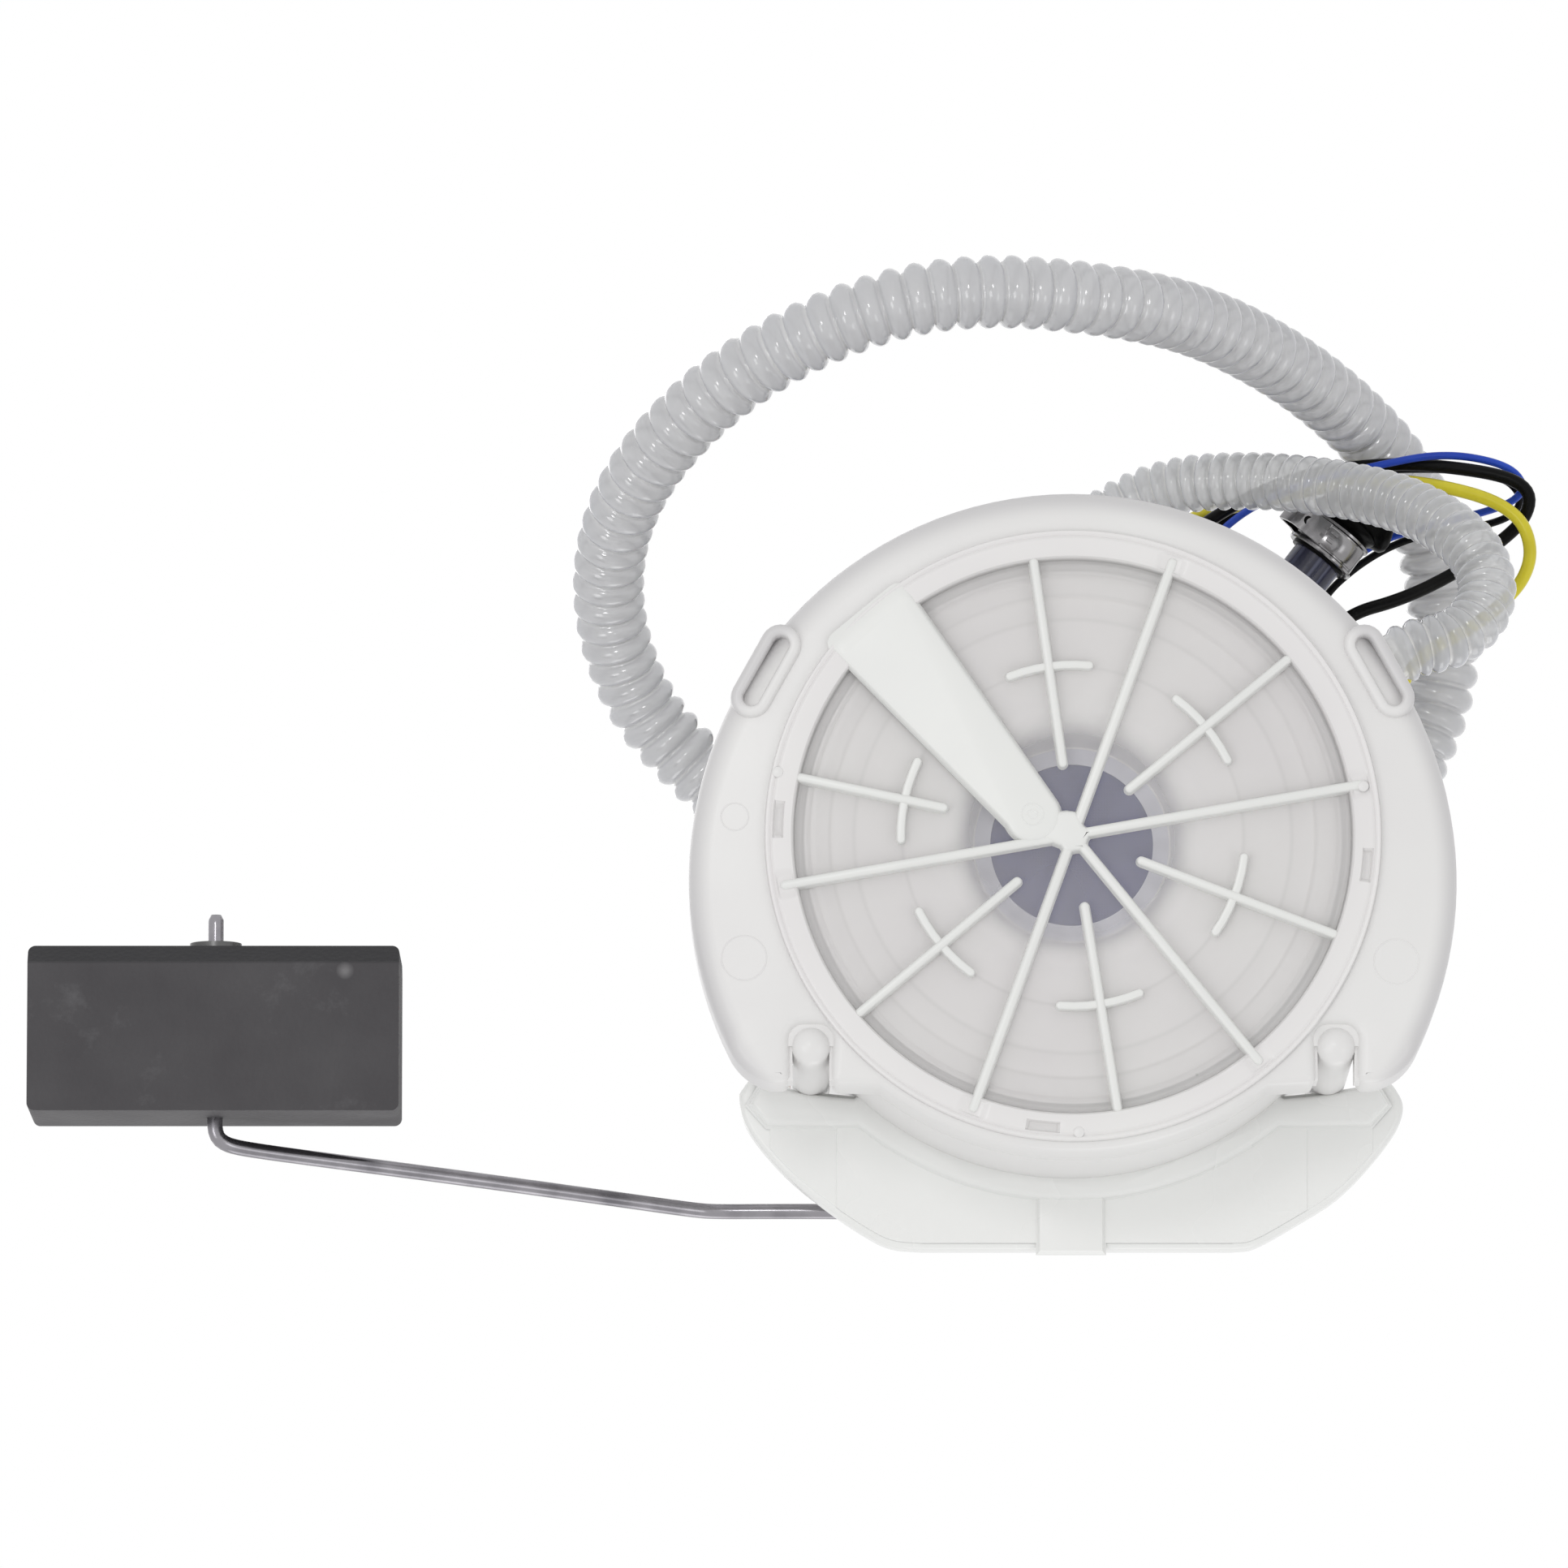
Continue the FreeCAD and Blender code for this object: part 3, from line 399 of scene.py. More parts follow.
# ------------------------------------------------------------------------------
# The four wires from the plug on the lid to the flange: two thick ones for the pump, two thin ones for the level
# sender. Each is stranded copper in glossy PVC, and they hang out in a loose loop so that the flange can slide.
WIRES = (
    ("blue_wire", 0.0013, 0.1791, "blue_pvc", (0.025, 0.08, 0.52), (0.018, 0.055, 0.42), (
        (-17.5, 46, 139), (-17.5, 57, 139), (-27.3, 70.4, 130), (-39, 75, 116), (-52, 76.9, 107),
        (-64.1, 78.9, 104.2), (-74.7, 77.1, 104.6), (-78.2, 73.8, 106), (-76.4, 71.1, 107.5), (-71, 69.7, 111),
        (-62, 68.5, 117.5), (-53.9, 66.6, 121.5), (-46, 61, 121.5), (-40.5, 52.5, 119), (-44.5, 41, 110),
        (-49, 33, 104), (-49, 20, 104))),
    ("thin_black_wire", 0.0013, 0.1804, "black_pvc", (0.004, 0.004, 0.004), (0.008, 0.008, 0.008), (
        (-13.5, 46, 139), (-13.5, 57, 139), (-26, 71.5, 137.5), (-39.5, 78, 126.3), (-54, 77.6, 113.6),
        (-66.5, 76.8, 108.6), (-74.6, 75.4, 108.2), (-77.6, 72.6, 109.5), (-77, 69.9, 111.5), (-73, 68.4, 114.5),
        (-66.5, 67.9, 118.5), (-59.2, 67.4, 123), (-51.4, 63.7, 125), (-44, 57, 124.5), (-43.1, 48.5, 117),
        (-51.4, 33, 104), (-51.4, 20, 104))),
    ("black_wire", 0.0022, 0.1703, "black_pvc", (0.004, 0.004, 0.004), (0.008, 0.008, 0.008), (
        (-9, 46, 139), (-9, 58, 139), (-24, 71.5, 133), (-40, 77.6, 119), (-56.2, 78, 109.2), (-66.9, 76.3, 104.3),
        (-75.3, 74.5, 102.8), (-78.8, 72, 102.8), (-78.3, 68.3, 103.5), (-75.4, 65.1, 105.5), (-67.1, 59.4, 108.5),
        (-57.5, 54.5, 107.5), (-47.9, 51.6, 105.5), (-42.5, 45, 104.6), (-46.4, 33, 104), (-46.4, 20, 104))),
    ("yellow_wire", 0.0022, 0.16, "yellow_pvc", (0.74, 0.66, 0.03), (0.62, 0.53, 0.02), (
        (-4.5, 46, 139), (-4.5, 58, 139), (-20, 72.8, 137), (-36, 74.6, 127), (-47.5, 75.8, 117.4),
        (-56, 74.8, 107.6), (-64.1, 73, 103), (-72.1, 70.5, 101), (-76.9, 67.1, 100), (-78.6, 62.9, 100),
        (-78.4, 59, 101), (-76, 54.9, 102.5), (-68.9, 48.9, 103.5), (-59.5, 44.5, 104), (-54, 33, 104),
        (-54, 20, 104))),
)
for node, thick, length, slot, colour, shade, run in WIRES:
    line = flowing_line(run)
    pvc = moulded(slot + "_" + node, colour, shade, 0.3, 90, 1500, 0, 0.05,
                  Specular_IOR_Level={"black_pvc": 0.08, "blue_pvc": 0.2}.get(slot, 0.4))
    wire = tube_along(node + "_lead", pvc, line, 0.0008, 16, lambda s, whole, r=thick / 2: (r, 0))
    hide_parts(node)
    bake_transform(wire)

# ------------------------------------------------------------------------------
# The swirl pot, its lid and the pump holder, injection moulded in milky POM. The pot is a low wide base with soft
# edges and two notches at its front, and a round wall above it. Its thick edges look white, and its rounded rim is
# painted greyer and faintly pink as painted shade.
milky = moulded("milky_pom", (0.8, 0.795, 0.785), (0.765, 0.755, 0.75), 0.34, 22, 700, 0.3, 0.08,
                Specular_IOR_Level=0.55)
# painted shade: the base's rounded rim, which curves away from the light, is painted greyer and faintly pink
tree, shader, coat = nodes_of(milky)
apart = add(tree, "SeparateXYZ", place_in(tree))
level = add(tree, "CombineXYZ", (apart, "X"), (apart, "Y"))
from_middle = add(tree, "VectorMath", level, (0, -0.0062, 0), operation="DISTANCE")
painted_rim_shade = fit(tree, from_middle, 0.0578, 0.0616, interpolation_type="SMOOTHSTEP")
feed(shader, "Base Color", blended(tree, painted_rim_shade, (coat, "Colour"), (0.64, 0.63, 0.635, 1)))


def wear(node, material):
    """Gives a CAD node its finish."""
    finishes = body_parts[node].data.materials
    finishes.clear()
    finishes.append(material)


wear("pot_lid", milky)
wear("pump_holder", milky)

MM = 0.001
BASE_R, BASE_BACK, BASE_FRONT, WALL_R, SHOULDER = 61.6, -6.8, -40, 50.8, 16
NOTCH, NOTCH_HALF, NOTCH_TOP, POST_R, POST_Y = 42, 3.4, -30.6, 3.2, -33.9


def arc(x, y, radius, start, end, step=4):
    """Points along an arc in the plane, in millimetres, between two angles in degrees."""
    parts = max(1, math.ceil(abs(end - start) / step))
    angles = [math.radians(start + (end - start) * i / parts) for i in range(parts + 1)]
    return [Vector((x + radius * math.cos(a), y + radius * math.sin(a))) for a in angles]


def spots(*places):
    """Points in the plane, in millimetres."""
    return [Vector(p) for p in places]


def inset(outline, depth, shares=None):
    """A closed outline moved inwards by a depth, or by a share of it at each point."""
    moved = []
    turn = sum(a.x * b.y - b.x * a.y for a, b in zip(outline, outline[1:] + outline[:1]))
    sign = 1 if turn > 0 else -1
    for i, p in enumerate(outline):
        a = (p - outline[i - 1]).normalized()
        b = (outline[(i + 1) % len(outline)] - p).normalized()
        normal = Vector((-(a.y + b.y), a.x + b.x)).normalized() * sign
        slant = max(0.4, normal.dot(Vector((-a.y, a.x)) * sign))
        moved.append(p + normal * (depth * (shares[i] if shares else 1) / slant))
    return moved


def stacked(bm, outlines, close_last=True, close_first=False):
    """Skins a stack of matching outlines, each with its height or a height for each point."""
    rings = []
    for outline, z in outlines:
        heights = z if isinstance(z, list) else [z] * len(outline)
        rings.append([bm.verts.new((p.x * MM, p.y * MM, h * MM)) for p, h in zip(outline, heights)])
    for a, b in zip(rings, rings[1:]):
        skin_between(bm, a, b)
    if close_last:
        bm.faces.new(rings[-1])
    if close_first:
        bm.faces.new(rings[0][::-1])
    return rings


def drawn_in(bm, outline, steps, **closed):
    """Skins an outline's steps, each as the depth inwards and the height."""
    stacked(bm, [(inset(outline, depth), z) for depth, z in steps], **closed)


def finished(name, bm, material):
    """Turns a mesh under construction into a smooth-shaded object in the scene."""
    bmesh.ops.recalc_face_normals(bm, faces=bm.faces)
    made = mesh_of(name, bm, material)
    made.polygons.foreach_set("use_smooth", [True] * len(made.polygons))
    made.set_sharp_from_angle(angle=math.radians(38))
    return put(name, made)


def rounding(radius, parts=6):
    """The steps of a rounded edge, each as the depth inwards and the height above the face."""
    return [(radius * (1 - math.sin(math.pi / 2 * i / parts)), radius * (1 - math.cos(math.pi / 2 * i / parts)))
            for i in range(parts + 1)]


# the base's outline on one side: bulge, front edge, notch, rounded corner and the big round
inner_side, outer_side = NOTCH - NOTCH_HALF, NOTCH + NOTCH_HALF
half_base = (
    [(p, 0.3) for p in arc(0, 0, WALL_R, -87, -52.5)]
    + [(p, 0.3) for p in arc(inner_side - 1.3, BASE_FRONT + 1.3, 1.3, -90, 0, 22)]
    + [(p, 0.45) for p in arc(inner_side + 2.2, NOTCH_TOP - 2.2, 2.2, 180, 90, 15)]
    + [(p, 0.45) for p in arc(outer_side - 2.2, NOTCH_TOP - 2.2, 2.2, 90, 0, 15)]
    + [(p, 0.4) for p in arc(outer_side + 1.4, BASE_FRONT + 1.6, 1.4, 180, 262, 20)]
    + [(p, min(1, 0.4 + 0.02 * i)) for i, p in enumerate(arc(46.1, -30, 10, -78, -26.7, 5))]
    + [(p, 1) for p in arc(0, BASE_BACK, BASE_R, -24, 10, 3)]
    + [(Vector((p.x, p.y + 1.4 * max(0, p.y / 54.8))), 1 + 0.4 * max(0, p.y / 54.8))
       for p in arc(0, BASE_BACK, BASE_R, 13, 90, 3)]
)
base_points = half_base + [(Vector((-p.x, p.y)), share) for p, share in half_base[::-1][1:]]
outline, shares = zip(*base_points)
base = bmesh.new()
low = [(inset(outline, depth, shares), [1.5 + rise * share for share in shares]) for depth, rise in rounding(3.8)]
high = [(inset(outline, depth, [0.3] * len(outline)), SHOULDER - rise * 0.3) for depth, rise in rounding(3.8)[::-1]]
rings = stacked(base, low + high, close_last=False)
for loop, radius, z in ((rings[0], 46, 1.5), (rings[-1], WALL_R - 0.4, SHOULDER)):
    hole = ring_of(base, radius * MM, z * MM, 120)
    edges = [base.edges.new(pair) for pair in zip(hole, hole[1:] + hole[:1])]
    edges += [base.edges.get(pair) for pair in zip(loop, loop[1:] + loop[:1])]
    bmesh.ops.triangle_fill(base, use_beauty=True, edges=edges)
pot_base = finished("pot_base", base, milky)
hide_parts("pot_shell")

# the round wall above the base, and the two guide posts with domed ends that stand in the notches
wall = bmesh.new()
stacked(wall, [(arc(0, 0, r, 0, 357, 3), z) for r, z in (
    (WALL_R - 1.2, 14.6), (WALL_R, SHOULDER - 0.2), (WALL_R, 97.4), (WALL_R - 0.3, 97.9), (WALL_R - 1.7, 97.9),
    (WALL_R - 2, 97.4), (WALL_R - 2, 3.5))], close_last=False)
pot_wall = finished("pot_wall", wall, milky)
posts = bmesh.new()
for side in (-1, 1):
    x = side * NOTCH
    dome = [(arc(x, POST_Y, max(0.02, (POST_R - 0.1) * math.sin(a)), 0, 348, 12), 3 - 2.3 * math.cos(a))
            for a in map(math.radians, (0, 15, 30, 45, 58, 70, 80, 90))]
    stacked(posts, dome + [(arc(x, POST_Y, POST_R, 0, 348, 12), z) for z in (6, 42.9, 59.6)]
            + [(arc(x, POST_Y, POST_R - 0.5, 0, 348, 12), 60)])
    for left, right, front, back, low, high in (
            (-0.85, 0.85, POST_Y, -27.2, 12, 59), (-4.2, 4.2, POST_Y, -29.8, 2.4, 10),
            (-4.2, -2.95, -39.4, POST_Y, 2.8, 10), (2.95, 4.2, -39.4, POST_Y, 2.8, 10)):
        web = spots((x + left, front), (x + right, front), (x + right, back), (x + left, back))
        stacked(posts, [(web, low), (web, high)], close_first=True)
guide_posts = finished("guide_posts", posts, milky)

# the two eyelets, with soft round edges and a slot each
EYELET_X, EYELET_Y, EYELET_LEAN, EYELET_REACH = 49.2, 26.6, 29, 4.9
loops = bmesh.new()


def slot_loop(side, half):
    """The outline round an eyelet's slot at a distance."""
    tilt = math.radians(side * EYELET_LEAN)
    along, across = Vector((-math.sin(tilt), math.cos(tilt))), Vector((math.cos(tilt), math.sin(tilt)))
    return [Vector((side * EYELET_X, EYELET_Y)) + along * (end * EYELET_REACH + p.y) + across * p.x
            for end, start in ((1, 0), (-1, 180)) for p in arc(0, 0, half, start, start + 180, 15)]


for side in (-1, 1):
    stacked(loops, [(slot_loop(side, half), z) for half, z in (
        (3.3, 6.5), (3.3, 1.5), (3.22, 0.95), (3, 0.55), (2.7, 0.35), (2.35, 0.3), (2, 0.3), (1.7, 0.38),
        (1.5, 0.62), (1.38, 1.1), (1.3, 2.4), (1.25, 4.4))])
eyelet_loops = finished("pot_eyelets", loops, milky)

# the side pipe that takes the small hose
jet_end = Vector(SMALL_RUN[0]) * MM
jet_way = (Vector(SMALL_RUN[1]) * MM - jet_end).normalized()
jet_pipe = tube_along("jet_pipe", milky, [jet_end - jet_way * 0.0095, jet_end, jet_end + jet_way * 0.0075], 0.001, 24,
                      lambda s, whole: (0.0044 if s < 0.0085 else 0.0029, 0), 0.0019)

# the ejector marks and small pips that the mould left on the base
marks = bmesh.new()
for x, y, r in ((52.7, -19.8, 3.6), (-51.7, -20.4, 3.6), (54.2, 3, 2.2)):
    stacked(marks, [(arc(x, y, r + out, 0, 350, 10), z) for out, z in (
        (0.16, 1.52), (0.04, 1.42), (-0.04, 1.42), (-0.16, 1.52))], close_last=False)
for x, y in ((47.3, 10.1), (-0.8, -48), (-46.5, 7.8)):
    stacked(marks, [(arc(x, y, r, 0, 340, 20), z) for r, z in ((0.9, 0.32), (0.8, 0.12), (0.5, 0.03), (0.1, 0))])
pot_marks = finished("mould_marks", marks, milky)
for piece in (pot_base, pot_wall, guide_posts, eyelet_loops, jet_pipe, pot_marks):
    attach(piece, "pot")

# ------------------------------------------------------------------------------
# The bottom plate. A clear-milky disc snaps into the pot's floor by its band. Long ribs meet at a hub, short ribs
# carry cross bars, and one broad arm holds the mould's gate. The dark strainer shows through the thin disc.
LONG_RIBS = (20, 80, 141, 200, 260)
SHORT_RIBS = ((352, 11.7), (50.5, 11.7), (111, 11.7), (171, 11.7), (230, 11.7), (282, 21.2))
WINDOWS = (186, 96, 273)


def toward(angle, radius):
    """The point at an angle counted from the back."""
    return Vector((-math.sin(math.radians(angle)) * radius, math.cos(math.radians(angle)) * radius))


def bar_outline(path, half, cap=8):
    """The outline round a path at a distance, with round ends. Its points match between distances."""
    left, right = [], []
    for i, p in enumerate(path):
        way = (path[min(i + 1, len(path) - 1)] - path[max(i - 1, 0)]).normalized()
        across = Vector((-way.y, way.x))
        left.append(p + across * half)
        right.append(p - across * half)

    def round_end(centre, start):
        a0 = math.atan2(start.y - centre.y, start.x - centre.x)
        return [centre + Vector((math.cos(a0 - math.pi * k / cap), math.sin(a0 - math.pi * k / cap))) * half
                for k in range(1, cap)]

    return left + round_end(path[-1], left[-1]) + right[::-1] + round_end(path[0], right[0])


RIB_STEPS = ((0.98, 2.3), (0.86, 2), (0.78, 0.75), (0.68, 0.45), (0.48, 0.28), (0.24, 0.22))
ribs = bmesh.new()


def moulded_bar(bm, path, width=1, low=0):
    """One rib of the plate along a path."""
    stacked(bm, [(bar_outline(path, half * width), max(z, low + z * 0.3)) for half, z in RIB_STEPS], close_first=True)


for angle in LONG_RIBS:
    moulded_bar(ribs, [toward(angle, r) for r in (1.7, 15, 30, 46.9)])
for angle, start in SHORT_RIBS:
    moulded_bar(ribs, [toward(angle, r) for r in (start, 27.6, 44.6)], 0.92, 0.1)
    moulded_bar(ribs, [toward(angle + turn, 27.6) for turn in (-13.5, -9, -4.5, 0, 4.5, 9, 13.5)], 0.8, 0.5)
# the hub is a web between the ribs, drawn in a little further between some of them
web = [toward(angle, reach) for angle, reach in (
    (5, 3.7), (20, 3), (50, 2.2), (80, 3.1), (112, 2.4), (141, 3.2), (172, 2.6), (200, 3.2), (228, 2.7), (256, 4.2),
    (274, 6.2), (292, 6), (320, 4.8), (345, 4))]
web = [p.lerp(q, t) for p, q in zip(web, web[1:] + web[:1]) for t in (0, 0.33, 0.67)]
drawn_in(ribs, web, ((-0.3, 2.3), (0, 0.7), (0.12, 0.4), (0.35, 0.2), (0.7, 0.17)), close_first=True)

# the broad arm: round at the gate, wider towards the rim
gate = Vector((6.5, 3.2))
start = math.degrees(math.atan2(2.4, -4.7))
edge = arc(*gate, 4.8, start, start + 183.6, 10.3)


def eased(before, corner, after, reach=2.6):
    """A corner eased into a curve that starts and ends at reach from it."""
    p, q = corner + (before - corner).normalized() * reach, corner + (after - corner).normalized() * reach
    return [p.lerp(corner, t).lerp(corner.lerp(q, t), t) for t in (0, 0.25, 0.5, 0.75, 1)]


outer = spots((40.3, 31.2), (27.5, 41.8))
far = eased(edge[-1], *outer) + eased(*outer, edge[0])
arm_edge = edge + far
arm_way = (Vector((33.9, 36.8)) - gate).normalized()
steps = ((0, 2.3, 0), (0.1, 1.9, 0.02), (0.4, 0.6, 0.1), (0.6, 0.22, 0.8), (0.85, 0.06, 1.8), (1.2, 0, 2.4))
stacked(ribs, [([p - (arm_way * back if k >= len(edge) else Vector((0, 0))) for k, p in enumerate(inset(arm_edge, d))],
                [z] * len(edge) + [min(z, 0.42 + 0.1 * z)] * len(far)) for d, z, back in steps], close_first=True)
# the gate's witness ring and dimple
for r, wide, deep in ((1.75, 0.2, -0.09), (0.75, 0.2, -0.08)):
    stacked(ribs, [(arc(gate.x, gate.y, r + out * wide, 0, 345, 15), z) for out, z in (
        (1, 0.02), (0, deep), (-1, 0.02))], close_last=False)

# the disc and its band in one skin, by its height at each radius and angle
FACE_Z, BAND_Z = 2.2, 0.3
LIP_R, STEP_R, BAND_IN, BAND_OUT, WINDOW_R = 42, 44.65, 45.2, 49.2, 47.3
DISC_SIDES = 540
rows = ([0.0005, 4, 8, 12, 16, 20, 24, 28, 32, 36, 39, 41, 42, 42.3, 42.6, 43.4, 43.7, 44.2, 44.6, 44.75, 44.95]
        + [BAND_IN + 0.3 * k for k in range(14)] + [49.25, 49.4, 49.45])


def arc_between(angle, other, r):
    """The distance between two angles along a circle."""
    return abs((angle - other + 180) % 360 - 180) * math.radians(1) * r


def plate_height(r, angle):
    """The underside's height: a lip round the thin face, then the band, with its windows and the ribs' tips."""
    if r < LIP_R:
        return FACE_Z
    if r < STEP_R:
        return FACE_Z + 0.35 * math.sin(math.pi * min(1, (r - LIP_R) / 2)) ** 2
    if r < BAND_IN:
        return FACE_Z + (BAND_Z - FACE_Z) * min(1, (r - STEP_R) / 0.35)
    if r >= BAND_OUT:
        return BAND_Z + 1.2 * min(1, (r - BAND_OUT) / 0.25) ** 2
    z = BAND_Z + (0.22 if 48.3 < r < 48.8 else 0)
    if r > BAND_IN:
        for window in WINDOWS:
            reach = max(abs(r - WINDOW_R) - 0.55, arc_between(angle, window, r) - 2.4, 0)
            z += 0.8 * max(0, 1 - reach / 0.35)
        for tip in LONG_RIBS if r < 48 else ():
            z += 0.35 * max(0, 1 - max(arc_between(angle, tip, r) - 1.5, 0) / 0.5)
    return z


disc = bmesh.new()
grid = [[disc.verts.new((*toward(angle, r), plate_height(r, angle))) for angle in (
    360 * k / DISC_SIDES for k in range(DISC_SIDES))] for r in rows]
for a, b in zip(grid, grid[1:]):
    skin_between(disc, a, b)
disc.faces.new(grid[0])
bmesh.ops.scale(disc, vec=(MM, MM, MM), verts=disc.verts)

clear_milk = moulded("clear_milk_pom", (0.85, 0.84, 0.83), (0.82, 0.8, 0.8), 0.3, 26, 600, 0.4, 0.05,
                     Specular_IOR_Level=0.5)
# the disc is thin over the inlet and thicker outwards, and its band is nearly opaque
tree, shader, coat = nodes_of(clear_milk)
place = place_in(tree)
apart = add(tree, "SeparateXYZ", place)
level = add(tree, "CombineXYZ", (apart, "X"), (apart, "Y"))
from_middle = add(tree, "VectorMath", level, operation="LENGTH")
cloudy = fit(tree, from_middle, 0.0155, 0.021, (0.27, 0.6), interpolation_type="SMOOTHSTEP")
haze = add(tree, "TexNoise", place, Scale=30, Detail=3)
haze_fit = fit(tree, haze, 0.3, 0.7, (-0.04, 0.04))
hazy = maths(tree, "ADD", cloudy, haze_fit)
thick = fit(tree, (apart, "Z"), 0.0019, 0.0006)
feed(shader, "Alpha", add(tree, "Mix", data_type="FLOAT", Factor=thick, A=hazy, B=0.95))
# painted shade: soft grey rings on the disc stand for the shade at the end cap's steps behind it, each a grey at a
# share of 50 mm from the middle
painted_step_shade = add(tree, "ValToRGB", fit(tree, from_middle, 0, 0.05))
for at, grey in ((0.538, 1), (0.548, 0.9), (0.556, 0.97), (0.69, 0.985), (0.702, 0.9), (0.712, 0.96), (0.772, 0.99),
                 (0.782, 0.91), (0.79, 0.96), (0.88, 0.97)):
    painted_step_shade.color_ramp.elements.new(at).color = (grey, grey, grey, 1)
for end in (0, -1):
    painted_step_shade.color_ramp.elements[end].color = (1, 1, 1, 1)
feed(shader, "Base Color", blended(tree, 1, (coat, "Colour"), painted_step_shade, blend_type="MULTIPLY"))
plate_disc = finished("bottom_plate_disc", disc, clear_milk)
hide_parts("bottom_plate")
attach(plate_disc, "pot")
rib_pom = moulded("rib_pom", (0.815, 0.82, 0.8), (0.785, 0.79, 0.775), 0.3, 30, 700, 0.2, 0.05)
plate_ribs = finished("bottom_plate_ribs", ribs, rib_pom)
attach(plate_ribs, "pot")

# ------------------------------------------------------------------------------
# Inside the pot: the pump's dark blue inlet strainer in its lilac cap, the steel pump can, its black outlet cap,
# and the round paper filter with its stepped pale end cap, which stands on the bottom plate.
cap = bmesh.new()
stacked(cap, [(arc(0, 0, r, 0, 357, 3), z) for r, z in (
    (15.6, 13.02), (15.9, 12.9), (16.6, 9.5), (17.6, 6), (19.6, 4.4), (23, 4), (27.1, 3.85), (27.4, 3.5),
    (34.9, 3.45), (35.2, 3.65), (38.7, 3.65), (39.1, 4.1), (41.9, 4.1), (42.3, 3.3), (43.1, 3.3), (43.5, 5),
    (44.6, 5.2))], close_last=False)
end_cap = finished("filter_end_cap", cap,
                   moulded("end_cap_pom", (0.86, 0.845, 0.84), (0.83, 0.81, 0.81), 0.5, 30, 500))
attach(end_cap, "pot")
strainer_blue = moulded("strainer_blue", (0.006, 0.011, 0.165), (0.03, 0.04, 0.19), 0.45, 110, 1200, 0, 0.1)
# it is woven, and a few pale grains lie on it
tree, shader, coat = nodes_of(strainer_blue)
place = place_in(tree)
grains = add(tree, "TexVoronoi", place, Scale=330)
tiny = fit(tree, grains, 0, 0.13, (1, 0))
few = maths(tree, "GREATER_THAN", (grains, "Color"), 0.9)
sparse = maths(tree, "MULTIPLY", tiny, few)
feed(shader, "Base Color", blended(tree, sparse, (coat, "Colour"), (0.8, 0.8, 0.85, 1)))
warp, weft = [(add(tree, "TexWave", place, Scale=700, wave_type="BANDS", bands_direction=way), "Fac") for way in "XY"]
feed(tree.nodes["Bump"], "Height", maths(tree, "MAXIMUM", warp, weft))
wear("inlet_strainer", strainer_blue)
wear("inlet_cap", moulded("cap_lilac", (0.74, 0.74, 0.81), (0.67, 0.67, 0.75), 0.4))
wear("filter_element", moulded("filter_paper", (0.8, 0.76, 0.68), (0.74, 0.7, 0.62), 0.8, 120, 400))
wear("outlet_cap", moulded("cap_black", (0.015, 0.015, 0.016), (0.03, 0.03, 0.03), 0.45))

# Brushed and drawn metal: fine streaks along one direction over a cloudy tone.
metal, given, got = group_of(
    "drawn_metal", ("Colour", "Color", (0.5, 0.5, 0.5, 1)), ("Stain", "Color", (0.3, 0.3, 0.3, 1)),
    ("Stretch", "Vector", (1, 1, 1)), ("Roughness", "Float", 0.3))
place = place_in(metal)
pulled = add(metal, "Mapping", place, Scale=(given, "Stretch"))
streak = add(metal, "TexNoise", pulled, Scale=900, Detail=3)
smear = add(metal, "TexNoise", place, Scale=140, Detail=4)
smear_fit = fit(metal, smear, 0.4, 0.7)
rough_fit = fit(metal, streak, to=(-0.08, 0.12))
feed(got, "Colour", blended(metal, smear_fit, (given, "Colour"), (given, "Stain")))
feed(got, "Roughness", maths(metal, "ADD", rough_fit, (given, "Roughness")))
feed(got, "Height", streak)


def drawn(name, colour, stain, rough, stretch=(1, 1, 0.05), bump=0.12):
    """A bare metal finish."""
    return finish_from(metal, name, bump, 0.0001, {"Metallic": 1}, Colour=(*colour, 1), Stain=(*stain, 1),
                       Stretch=stretch, Roughness=rough)


wear("pump_can", drawn("pump_steel", (0.62, 0.62, 0.61), (0.5, 0.5, 0.49), 0.3))

# ------------------------------------------------------------------------------
# The flange, its delivery pipe and wiring socket, moulded in one with white POM, with a black rubber seal below
# and brass pins. It slides on two steel rods and stands off the pot on two springs.
flange_pom = moulded("flange_pom", (0.7, 0.7, 0.68), (0.65, 0.65, 0.63), 0.4, 25, 700, 0.3, 0.1,
                     Subsurface_Weight=0.25, Subsurface_Scale=0.003)
for node in ("flange", "delivery_pipe", "connector_socket"):
    wear(node, flange_pom)
wear("flange_seal", moulded("seal_rubber", (0.018, 0.018, 0.018), (0.03, 0.03, 0.03), 0.65, 80, 500))
wear("connector_pins", drawn("pin_brass", (0.78, 0.58, 0.28), (0.6, 0.42, 0.2), 0.25))
wear("guide_rods", drawn("rod_steel", (0.66, 0.66, 0.65), (0.52, 0.52, 0.51), 0.22))
wear("wire_plug", moulded("plug_pbt", (0.62, 0.62, 0.6), (0.55, 0.55, 0.53), 0.45))

